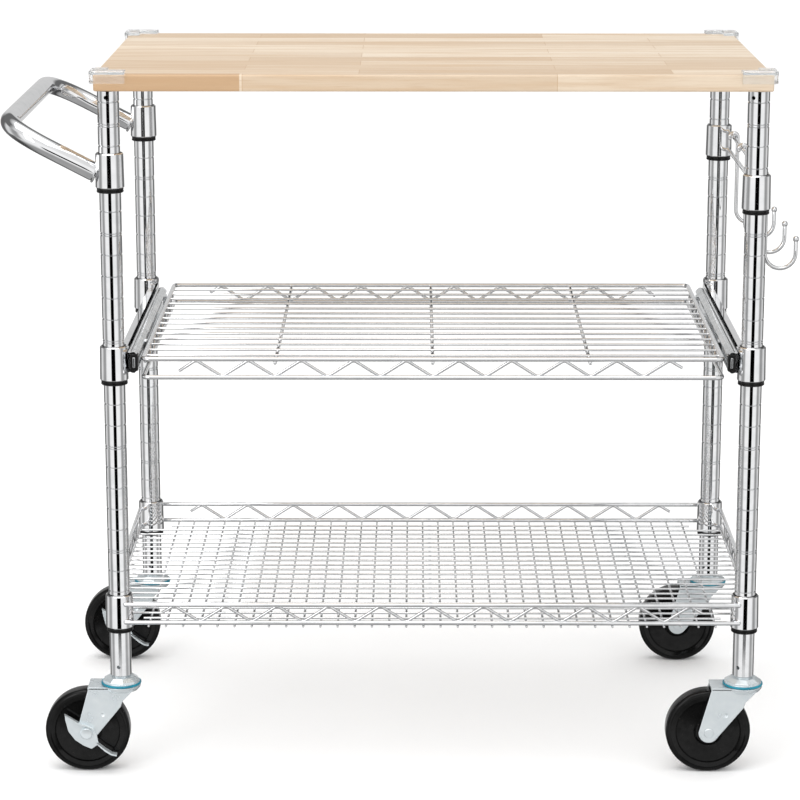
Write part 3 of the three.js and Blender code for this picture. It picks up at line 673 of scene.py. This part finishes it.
def makeHook(number):
    low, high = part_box(f"hook_{number}")
    y = (low.y + high.y) / 2
    curl = rack["wire"] + hook["wire"] + hook["clear"]
    route = arc(0, 0, curl, hook["curlDeg"], 0, hook["curlSteps"])
    route += arc(curl + hook["bend"], -hook["shank"], hook["bend"], 180, 360, hook["bendSteps"])
    route.append((route[-1][0], route[-1][1] + hook["tip"]))
    points = [(railX + x, y, railTopZ + z) for x, z in route]
    shapes = [tube(points, hook["wire"], hook["sides"]), ballAt(points[-1], hook["ball"]),
              ballAt(points[0], hook["wire"] * hook["startBall"])]
    piece(f"wire_hook_{number}", shapes, chrome, f"hook_{number}", [f"hook_{number}"])


makeRack()
for number in range(1, 5):
    makeHook(number)
print("handle and rack ready")


# wire shelves
truss = {"rim": 0.0027, "zigzag": 0.0018, "pitch": 0.0614, "tail": 0.015, "tailHeight": 0.45,
         "kneeRound": 0.006, "kneeSteps": 4, "inset": 0.001, "rimSides": 18, "zigzagSides": 12}


def zigzag(periods, lowZ, highZ, place, startTail=truss["tail"], startHeight=truss["tailHeight"]):
    half = periods * truss["pitch"] / 2
    knees = [(-half - startTail, highZ - (highZ - lowZ) * startHeight)]
    knees += [(-half + k * truss["pitch"] / 2, highZ if k % 2 == 0 else lowZ)
              for k in range(periods * 2 + 1)]
    knees.append((half + truss["tail"], highZ - (highZ - lowZ) * truss["tailHeight"]))
    route = rounded([place(u, z) for u, z in knees], truss["kneeRound"], truss["kneeSteps"])
    return tube(route, truss["zigzag"], truss["zigzagSides"])


def alongX(y, flip=1):
    return lambda u, z: (cartX + flip * u, y, z)


def alongY(x):
    return lambda u, z: (x, cartY + u, z)


def trussShapes(half, lowZ, highZ, periods, place):
    rods = [tube([place(-half, z), place(half, z)], truss["rim"], truss["rimSides"])
            for z in (lowZ, highZ)]
    return [*rods, zigzag(periods, lowZ + truss["inset"], highZ - truss["inset"], place)]


shelf = {"deckWire": 0.00135, "pitch": 0.02047, "longWires": 21, "crossWires": 34, "crossPast": 0.0025,
         "shortEnd": 0.346, "rimNear": 0.0068, "sideNear": 0.0112, "layShare": 1.75,
         "facePeriods": 10, "sidePeriods": 5, "wireSides": 10}


def makeLowerShelf():
    rim = truss["rim"]
    lowFront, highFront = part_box("lower_shelf_truss_front")
    lowZ, highZ = lowFront.z + rim, highFront.z - rim
    endX = halfX - shelf["rimNear"]
    for face in faceNames:
        place = alongX(middleOf(f"lower_shelf_truss_{face}").y)
        shapes = trussShapes(endX, lowZ, highZ, shelf["facePeriods"], place)
        piece(f"lower_rim_{face}", shapes, chrome, "cart_frame",
              [f"lower_shelf_truss_{face}"])
    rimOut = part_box("lower_shelf_end_right")[1].x - rim
    sideX = {"right": rimOut, "left": 2 * cartX - rimOut}
    endY = halfY - shelf["sideNear"]
    for side in sideNames:
        shapes = trussShapes(endY, lowZ, highZ, shelf["sidePeriods"], alongY(sideX[side]))
        piece(f"lower_rim_{side}", shapes, chrome, "cart_frame",
              [f"lower_shelf_end_{side}"])
    wire, pitch, sides = shelf["deckWire"], shelf["pitch"], shelf["wireSides"]
    rimY = (middleOf("lower_shelf_truss_rear").y - middleOf("lower_shelf_truss_front").y) / 2
    crossZ = lowZ - rim - wire
    longZ = crossZ + wire * shelf["layShare"]
    last = shelf["longWires"] - 1
    shapes = []
    for k in range(shelf["longWires"]):
        y = cartY + (k - last / 2) * pitch
        end = shelf["shortEnd"] if k in (0, last) else rimOut - cartX
        shapes.append(tube([(cartX - end, y, longZ), (cartX + end, y, longZ)], wire, sides))
    end = rimY + shelf["crossPast"]
    for k in range(shelf["crossWires"]):
        x = cartX + (k - (shelf["crossWires"] - 1) / 2) * pitch
        shapes.append(tube([(x, cartY - end, crossZ), (x, cartY + end, crossZ)], wire, sides))
    piece("lower_wire_deck", shapes, chrome, "cart_frame", ["lower_shelf_deck"])


makeLowerShelf()

tray = {"rim": 0.0027, "wire": 0.0015, "bar": 0.0022, "wires": 14, "pitch": 0.031, "barPitch": 0.184,
        "corner": 0.009, "cornerSteps": 8, "drop": 0.0218, "rimShare": 0.9, "wireDrop": 0.0012,
        "barSink": 0.0003, "skirtRise": 0.001, "facePeriods": 9, "sidePeriods": 6, "startTail": 0.020,
        "startHeight": 0.67, "wireSides": 12, "barSides": 14}


def trayLoop(x, y, z):
    corners = [(cartX + sx * x, cartY + sy * y, z) for sx, sy in ((1, 1), (-1, 1), (-1, -1), (1, -1))]
    route = rounded(corners, tray["corner"], tray["cornerSteps"], closed=True)
    return tube(route, tray["rim"], truss["rimSides"], closed=True)


def makeTray():
    low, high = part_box("tray_deck")
    inset = tray["rim"] * tray["rimShare"]
    rimX = (high.x - low.x) / 2 - inset
    rimY = (high.y - low.y) / 2 - inset
    rimZ = high.z - inset
    shapes = [trayLoop(rimX, rimY, rimZ)]
    wireZ = rimZ - tray["wireDrop"]
    for k in range(tray["wires"]):
        y = cartY + (k - (tray["wires"] - 1) / 2) * tray["pitch"]
        ends = [(cartX + s * rimX, y, wireZ) for s in (-1, 1)]
        shapes.append(tube(ends, tray["wire"], tray["wireSides"]))
    barZ = wireZ - tray["wire"] - tray["bar"] + tray["barSink"]
    for k in (-1, 0, 1):
        x = cartX + k * tray["barPitch"]
        ends = [(x, cartY + s * rimY, barZ) for s in (-1, 1)]
        shapes.append(tube(ends, tray["bar"], tray["barSides"]))
    piece("tray_wire_deck", shapes, chrome, "tray", ["tray_deck"])
    lowZ = rimZ - tray["drop"]
    shapes = [trayLoop(rimX, rimY, lowZ)]
    top, bottom = wireZ, lowZ + tray["skirtRise"]
    for s in (-1, 1):
        shapes.append(zigzag(tray["facePeriods"], bottom, top, alongX(cartY + s * rimY, flip=-s),
                             tray["startTail"], tray["startHeight"]))
    for s in (-1, 1):
        shapes.append(zigzag(tray["sidePeriods"], bottom, top, alongY(cartX + s * rimX)))
    piece("tray_skirt_wires", shapes, chrome, "tray",
          [f"tray_skirt_{name}" for name in (*faceNames, *sideNames)])


makeTray()
print("shelves ready")


# slides and the brackets that carry them
slide = {"wall": 0.0012, "lip": 0.0030, "bend": 0.0016, "bendSteps": 4, "ledges": (0.3, 0.6),
         "webEnd": 0.0004, "track": (0.006, 0.009), "trackDepth": 0.0012, "inset": 0.0027}
pad = {"at": 0.14, "half": 0.008, "width": 1.4, "below": 0.001}
cap = {"length": 0.009, "ahead": 0.0008, "below": 0.0006, "above": 0.0004, "sides": (0.0004, 0.0002),
       "bevel": 0.0009}
tab = {"half": 0.0014, "ahead": 0.0022, "behind": 0.004, "reach": 0.0062, "bevel": 0.0006}


def sheetOutline(corners, bend, wall):
    # a bent sheet seen end on, from the line down its middle
    route = rounded([(a, b, 0) for a, b in corners], bend, slide["bendSteps"])
    left, right = [], []
    for i, point in enumerate(route):
        along = (route[min(i + 1, len(route) - 1)] - route[max(i - 1, 0)]).normalized()
        side = Vector((-along.y, along.x, 0)) * wall / 2
        left.append(((point + side).x, (point + side).y))
        right.append(((point - side).x, (point - side).y))
    return left + right[::-1]


def channelShape(near, far, low, high):
    # a C open towards the tray, with rolled ball tracks, as long as the box from low to high
    s = 1 if far > near else -1
    wall, lip = slide["wall"], slide["lip"]
    half, width = wall / 2, abs(far - near)
    inner, web = near + s * half, far - s * half
    third, two = (inner + s * width * share for share in slide["ledges"])
    track = web - s * slide["trackDepth"]
    end, (start, stop) = slide["webEnd"], slide["track"]
    bottom, top = low.z + half, high.z - half
    corners = [(inner, bottom + lip), (inner, bottom), (third, bottom), (two, bottom + wall),
               (web, bottom + end), (web, bottom + start), (track, bottom + stop),
               (track, top - stop), (web, top - start), (web, top - end),
               (two, top - wall), (third, top), (inner, top), (inner, top - lip)]
    return slab(sheetOutline(corners, slide["bend"], wall), low.y, high.y, "Y")


def makeSlides(side):
    s = 1 if side == "right" else -1
    members = [(f"slide_outer_{side}", "cart_frame"), (f"slide_middle_{side}", f"slide_middle_{side}")]
    for node, body in members:
        low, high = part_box(node)
        near, far = (low.x, high.x)[::s]
        piece(f"{node}_channel", [channelShape(near, far, low, high)], slideSteel, body, [node])
    low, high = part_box(f"slide_inner_{side}")
    near, far = (low.x, high.x)[::s]
    inset = s * slide["inset"]
    shapes = [channelShape(near + inset, far, low, high)]
    for y in (cartY - pad["at"], cartY + pad["at"]):
        x0, x1 = sorted((near, near + inset * pad["width"]))
        shapes.append(block((x0, y - pad["half"], low.z + pad["below"]),
                            (x1, y + pad["half"], high.z - pad["below"])))
    piece(f"slide_inner_{side}_strip", shapes, slideSteel, "tray", [f"slide_inner_{side}"])
    x0, x1 = sorted((near + inset, far))
    capLow = (x0 + cap["sides"][0], low.y - cap["ahead"], low.z - cap["below"])
    capHigh = (x1 - cap["sides"][1], low.y + cap["length"], high.z + cap["above"])
    piece(f"slide_stop_{side}", [block(capLow, capHigh)], blackPlastic, "tray",
          bevel=cap["bevel"])
    middleX, middleZ = (x0 + x1) / 2, (low.z + high.z) / 2
    tabLow = (middleX - tab["half"], low.y - tab["ahead"], middleZ - tab["reach"])
    tabHigh = (middleX + tab["half"], low.y + tab["behind"], middleZ + tab["reach"])
    piece(f"slide_tab_{side}", [block(tabLow, tabHigh)], slideSteel, "tray", bevel=tab["bevel"])


bracket = {"thick": 0.0018, "half": 0.014, "flange": 0.009, "gap": 0.0003, "fromPost": 0.0162,
           "rivetFromPost": 0.05, "rivet": ((0, 0.0012), (0.00204, 0.001), (0.0034, 0), (0, 0)),
           "rivetSides": 20, "bevel": 0.0005}
bracketWeld = {"at": 0.0150, "out": 0.0004, "wave": 0.0004, "waves": 40, "steps": 24, "share": 0.92,
               "radius": 0.0017, "sides": 10}


def makeBracket(side):
    slideLow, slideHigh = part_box(f"slide_outer_{side}")
    s = 1 if side == "right" else -1
    inner = (slideHigh.x if s > 0 else slideLow.x) + s * bracket["gap"]
    middleZ = (slideLow.z + slideHigh.z) / 2
    thick, half = bracket["thick"], bracket["half"]
    outer = inner + s * thick
    edge = inner + s * bracket["flange"]
    yFront, yRear = postAt["front_left"].y, postAt["rear_left"].y
    reach = bracket["fromPost"]
    plateLow = (min(inner, outer), yFront, middleZ - half)
    plateHigh = (max(inner, outer), yRear, middleZ + half)
    lipLow = (min(inner, edge), yFront + reach, middleZ + half - thick)
    lipHigh = (max(inner, edge), yRear - reach, middleZ + half)
    shapes = [block(plateLow, plateHigh), block(lipLow, lipHigh)]
    spin = Matrix.Rotation(s * math.pi / 2, 3, "Y")
    rivetIn = bracket["rivetFromPost"]
    for y in (yFront + rivetIn, (yFront + yRear) / 2, yRear - rivetIn):
        shapes.append(turned(bracket["rivet"], (outer, y, middleZ), bracket["rivetSides"], spin))
    steps = bracketWeld["steps"]
    for y, ahead in ((yFront, 1), (yRear, -1)):
        bead = []
        for k in range(steps + 1):
            step = k / steps
            wave = bracketWeld["wave"] * math.sin(step * bracketWeld["waves"])
            bead.append((outer + s * (bracketWeld["out"] + wave), y + ahead * bracketWeld["at"],
                         middleZ + half * (1 - 2 * step) * bracketWeld["share"]))
        shapes.append(tube(bead, bracketWeld["radius"], bracketWeld["sides"]))
    piece(f"bracket_plate_{side}", shapes, chrome, "cart_frame", [f"slide_bracket_{side}"],
          bevel=bracket["bevel"])


for side in sideNames:
    makeSlides(side)
    makeBracket(side)
print("slides ready")


# casters
# profiles are (radius, height) pairs: the first three from the raceway's underside, cup from the
# fork's top, axleHead from the fork's side
caster = {
    "race": ((0, 0), (0.0222, 0), (0.0224, 0.0036), (0, 0.0036)), "raceSides": 44,
    "facets": ((0, 0.0034), (0.0222, 0.0034), (0.0222, 0.0056), (0.0160, 0.0094), (0, 0.0094)),
    "facetSides": 9,
    "seal": ((0.0220, 0.0004), (0.0235, 0.0004), (0.0240, 0.0010), (0.0240, 0.0022), (0.0235, 0.0028),
             (0.0220, 0.0028)),
    "sealSides": 48,
    "nut": 0.020, "nutFrom": 0.0092, "nutGap": 0.0002,
    "stem": 0.0085, "stemFrom": 0.008, "stemInto": 0.03, "roundSides": 28,
    "headBevel": 0.0004, "headSharpDeg": 13,
    "cup": ((0, -0.0085), (0.0140, -0.0085), (0.0205, -0.0062), (0.0230, -0.0030), (0.0234, -0.0004),
            (0.0230, 0), (0, 0)),
    "axle": 0.0055, "axlePast": 0.0001,
    "axleHead": ((0, 0.0009), (0.0050, 0.0009), (0.0058, 0.0002), (0.0058, 0), (0, 0)),
}
fork = {"sheet": 0.0026, "sideGap": 0.0022, "edge": 0.0005, "shoulder": 0.0150, "legTop": 0.0006,
        "shoulderTo": 0.0045, "knee": (0.002, 0.0175), "kneeBack": 0.0165, "straightTo": 0.024,
        "endRound": 0.012, "endDeg": (-45, -195), "endSteps": 14, "back": 0.003, "crownBack": 0.002,
        "faceTop": 0.0012, "faceTo": 0.0040, "facePast": 0.0002, "bevel": 0.0007,
        "dimple": 0.0042, "dimpleAt": (0.0200, 0.0225), "dimpleDepth": 0.0011}
# face holds (radius, depth below the widest part) pairs, from the hub outwards
wheel = {"radius": 0.0508, "half": 0.013, "shoulder": 0.0055, "shoulderStepDeg": 10, "sides": 96,
         "sharpDeg": 30,
         "face": ((0.0066, 0.0016), (0.0150, 0.0016), (0.0163, 0.0004), (0.0176, 0.0028),
                  (0.0380, 0.0034), (0.0392, 0.0014), (0.0430, 0.0006))}


def wheelProfile():
    r, h, soft = wheel["radius"], wheel["half"], wheel["shoulder"]
    face = [(radius, h - depth) for radius, depth in wheel["face"]]
    turns = [math.radians(a) for a in range(0, 91, wheel["shoulderStepDeg"])]
    bend = [(r - soft + soft * math.sin(t), h - soft + soft * math.cos(t)) for t in turns]
    half = face + bend
    return half + [(radius, -height) for radius, height in reversed(half)]


def rodBetween(radius, low, high):
    return [(0, low), (radius, low), (radius, high), (0, high)]


def makeCasterHead(corner):
    at = postAt[corner]
    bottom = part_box(f"caster_top_{corner}")[0].z
    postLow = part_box(f"post_{corner}")[0].z
    centre = (at.x, at.y, 0)
    across = caster["nut"] / math.sqrt(3)
    nut = rodBetween(across, bottom + caster["nutFrom"], postLow - caster["nutGap"])
    stem = rodBetween(caster["stem"], bottom + caster["stemFrom"], postLow + caster["stemInto"])
    shapes = [turned(lifted(caster["race"], bottom), centre, caster["raceSides"]),
              turned(lifted(caster["facets"], bottom), centre, caster["facetSides"]),
              turned(nut, centre, 6), turned(stem, centre, caster["roundSides"])]
    piece(f"caster_head_{corner}", shapes, zinc, "cart_frame", [f"caster_top_{corner}"],
          bevel=caster["headBevel"], sharpDeg=caster["headSharpDeg"])
    seal = turned(lifted(caster["seal"], bottom), centre, caster["sealSides"])
    piece(f"caster_seal_{corner}", [seal], blueSeal, "cart_frame")


def makeFork(corner):
    body = f"swivel_{corner}"
    at = postAt[corner]
    axle = middleOf(f"caster_wheel_{corner}")
    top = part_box(f"caster_fork_{corner}")[1].z
    thick = fork["sheet"]
    legIn = wheel["half"] + fork["sideGap"]
    legOut = legIn + thick
    edgeX = at.x + fork["edge"]
    shoulder = at.x + fork["shoulder"]
    shoulderLow = (shoulder, top - fork["shoulderTo"])
    knee = (edgeX + fork["knee"][0], top - fork["knee"][1])
    outline = [(shoulder, top - fork["legTop"]), shoulderLow, knee, (edgeX, top - fork["straightTo"])]
    outline += arc(axle.x, axle.z, fork["endRound"], *fork["endDeg"], fork["endSteps"])
    outline.append((axle.x + fork["back"], top - fork["legTop"]))
    legs = [slab(outline, at.y + a, at.y + b, "Y") for a, b in ((-legOut, -legIn), (legIn, legOut))]
    slope = [(shoulder, top - fork["faceTop"]), shoulderLow, knee, (knee[0] - thick, top - fork["kneeBack"]),
             (shoulder - thick, top - fork["faceTo"]), (shoulder - thick, top - fork["faceTop"])]
    faceHalf = legIn + fork["facePast"]
    face = slab(slope, at.y - faceHalf, at.y + faceHalf, "Y")
    crown = block((axle.x + fork["crownBack"], at.y - legOut, top - thick), (edgeX, at.y + legOut, top))
    cup = turned(lifted(caster["cup"], top), (at.x, at.y, 0), caster["raceSides"])
    piece(f"caster_crown_{corner}", [crown, face, cup], zinc, body, bevel=fork["bevel"])
    legPiece = piece(f"caster_fork_legs_{corner}", legs, zinc, body, [f"caster_fork_{corner}"],
                     bevel=fork["bevel"])
    dimpleOut = legOut + fork["dimple"] - fork["dimpleDepth"]
    for sign in (-1, 1):
        centre = (axle.x + fork["dimpleAt"][0], at.y + sign * dimpleOut, axle.z + fork["dimpleAt"][1])
        carve(legPiece, ballAt(centre, fork["dimple"]))
    rodEnd = legOut + caster["axlePast"]
    rod = rodBetween(caster["axle"], -rodEnd, rodEnd)
    shapes = [turned(rod, (axle.x, at.y, axle.z), caster["roundSides"], ontoY)]
    for sign in (-1, 1):
        spin = Matrix.Rotation(-sign * math.pi / 2, 3, "X")
        place = (axle.x, at.y + sign * legOut, axle.z)
        shapes.append(turned(caster["axleHead"], place, caster["roundSides"], spin))
    piece(f"caster_axle_{corner}", shapes, zinc, body)
    tyre = turned(wheelProfile(), (axle.x, at.y, axle.z), wheel["sides"], ontoY)
    piece(f"caster_tyre_{corner}", [tyre], wheelBlack, f"wheel_{corner}",
          [f"caster_wheel_{corner}"], sharpDeg=wheel["sharpDeg"])


# outlines in millimetres from the axle, towards the post and upwards
pedal = {
    "rocker": ((-26, 24), (-25.5, 17), (-22, 2), (-14, -9), (-4, -16), (5.5, -20), (14, -14), (12, -3),
               (8, 5), (0, 9), (-8, 11)),
    "tab": ((12, -11), (14, -14), (22, -21.5), (30, -26.5), (36, -27.5), (36, -25.5), (30.5, -24.5),
            (23, -19.5)),
    "rim": ((-26, 24), (-24.6, 23), (-8, 12.6), (0, 10.6), (8.6, 6.4), (8, 5), (0, 9), (-8, 11)),
    "boss": ((0, 0.0045), (0.0060, 0.0040), (0.0075, 0.0020), (0.0078, 0), (0, 0)),
    "thick": 0.002, "rimRise": 0.0035, "bossSides": 28, "bevel": 0.0005,
}


def makePedal(corner):
    low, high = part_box(f"brake_pedal_{corner}")
    axle = middleOf(f"caster_wheel_{corner}")
    back = high.y
    face = back - pedal["thick"]
    fronts = (("rocker", face), ("tab", low.y), ("rim", face - pedal["rimRise"]))
    shapes = []
    for name, front in fronts:
        outline = [(axle.x + x / 1000, axle.z + z / 1000) for x, z in pedal[name]]
        shapes.append(slab(outline, front, back, "Y"))
    spin = Matrix.Rotation(math.pi / 2, 3, "X")
    shapes.append(turned(pedal["boss"], (axle.x, face, axle.z), pedal["bossSides"], spin))
    piece(f"brake_rocker_{corner}", shapes, zinc, f"pedal_{corner}",
          [f"brake_pedal_{corner}"], bevel=pedal["bevel"])


for corner in cornerNames:
    makeCasterHead(corner)
    makeFork(corner)
for corner in ("front_left", "rear_left"):
    makePedal(corner)
print("casters ready")


# floor, lights and camera
floorLook = {"reach": 20, "rough": 0.8, "marks": 1.5, "speckle": 20, "clean": (0.99, 0.99, 0.99),
             "dull": (0.97, 0.97, 0.97)}


def makeFloor(look):
    mesh = bpy.data.meshes.new("pale_floor")
    reach = look["reach"]
    corners = [(-reach, -reach, 0), (reach, -reach, 0), (reach, reach, 0), (-reach, reach, 0)]
    mesh.from_pydata(corners, [], [(0, 1, 2, 3)])
    floor = addObject("pale_floor", mesh)
    material, tree, shader = newMaterial("paleFloor", Roughness=look["rough"])
    mask = placeGroup(tree, smudgeGroup, Scale=look["marks"], Speckle=look["speckle"]).outputs["Mask"]
    tree.links.new(mixed(tree, mask, look["clean"], look["dull"]), shader.inputs["Base Color"])
    mesh.materials.append(material)
    floor.visible_glossy = False


makeFloor(floorLook)

# level and raised hold (share of the half turn away from the front, grey) pairs
studio = {
    "sky": 1.12, "topPower": 24, "frontPower": 13,
    "level": ((0.0, 0.92), (1.0, 0.58), (0.30, 0.88), (0.38, 0.30), (0.47, 0.34), (0.56, 0.72),
              (0.63, 0.66), (0.70, 0.13), (0.84, 0.13), (0.92, 0.56)),
    "raised": ((0.0, 0.80), (1.0, 0.14), (0.40, 0.70), (0.55, 0.14)), "raisedFrom": (0.30, 0.38),
    "cap": 0.80, "capFrom": (0.70, 0.88),
    "lowDim": 0.42, "lowFrom": (-0.60, -0.40),
    "stripe": (0.08, 0.105), "stripeMiddle": -0.20, "stripeHalf": (0.105, 0.118),
}


def grey(level):
    return level, level, level


def makeWorld():
    # what the camera sees is white; reflections find a banded room, so bright metal gets its dark lines
    world = bpy.data.worlds.new("studio")
    bpy.context.scene.world = world
    world.use_nodes = True
    tree = world.node_tree
    nodes, link = tree.nodes, tree.links.new

    def calculate(operation, first, second=None):
        node = nodes.new("ShaderNodeMath")
        node.operation = operation
        link(first, node.inputs[0])
        if isinstance(second, (int, float)):
            node.inputs[1].default_value = second
        elif second is not None:
            link(second, node.inputs[1])
        return node.outputs["Value"]

    def greys(source, bands):
        node = nodes.new("ShaderNodeValToRGB")
        stops = node.color_ramp.elements
        for k, (place, level) in enumerate(bands):
            stop = stops[k] if k < 2 else stops.new(place)
            stop.position = place
            stop.color = (*grey(level), 1)
        link(source, node.inputs["Fac"])
        return node.outputs["Color"]

    coords = nodes.new("ShaderNodeTexCoord")
    parts = nodes.new("ShaderNodeSeparateXYZ")
    link(coords.outputs["Generated"], parts.inputs["Vector"])
    ahead = calculate("MULTIPLY", parts.outputs["Y"], -1)
    heading = calculate("ARCTAN2", parts.outputs["X"], ahead)
    share = calculate("DIVIDE", calculate("ABSOLUTE", heading), math.pi)
    steepness = calculate("ABSOLUTE", parts.outputs["Z"])
    level = greys(share, studio["level"])
    raised = greys(share, studio["raised"])
    room = mixed(tree, span(tree, steepness, 0, 1, *studio["raisedFrom"]), level, raised)
    room = mixed(tree, span(tree, steepness, 0, 1, *studio["capFrom"]), room, grey(studio["cap"]))
    low = span(tree, parts.outputs["Z"], 1, 0, *studio["lowFrom"])
    room = mixed(tree, low, room, grey(studio["lowDim"]), "MULTIPLY")
    inFront = span(tree, share, 1, 0, *studio["stripe"])
    below = calculate("SUBTRACT", parts.outputs["Z"], studio["stripeMiddle"])
    nearLevel = span(tree, calculate("ABSOLUTE", below), 1, 0, *studio["stripeHalf"])
    room = mixed(tree, calculate("MULTIPLY", inFront, nearLevel), room, grey(0.0))
    reflected = nodes.new("ShaderNodeLightPath").outputs["Is Glossy Ray"]
    background = nodes["Background"]
    link(mixed(tree, reflected, grey(1.0), room), background.inputs["Color"])
    background.inputs["Strength"].default_value = studio["sky"]


def addPanel(name, place, target, size, power):
    data = bpy.data.lights.new(name, "AREA")
    data.shape = "RECTANGLE"
    data.size, data.size_y = size
    data.energy = power
    panel = addObject(name, data)
    panel.location = place
    panel.rotation_mode = "QUATERNION"
    panel.rotation_quaternion = (Vector(target) - Vector(place)).to_track_quat("-Z", "Y")


makeWorld()
middle = (cadBox[0] + cadBox[1]) / 2
addPanel("top_panel", (-0.4, -0.6, 2.6), middle, (2.4, 1.8), studio["topPower"])
addPanel("front_panel", (-1.8, -2.6, 1.9), middle, (1.0, 1.8), studio["frontPower"])
bpy.context.scene.view_settings.view_transform = "Standard"

view = {"place": (0.0166, -3.5348, 1.2347), "pitchDeg": 13.165, "yawDeg": -0.302, "lens": 130.65,
        "sensor": 36}
cameraData = bpy.data.cameras.new("camera")
cameraData.lens = view["lens"]
cameraData.sensor_width = view["sensor"]
camera = addObject("camera", cameraData)
camera.location = view["place"]
camera.rotation_euler = (math.radians(90 - view["pitchDeg"]), 0, math.radians(-view["yawDeg"]))
bpy.context.scene.camera = camera
print("studio ready")
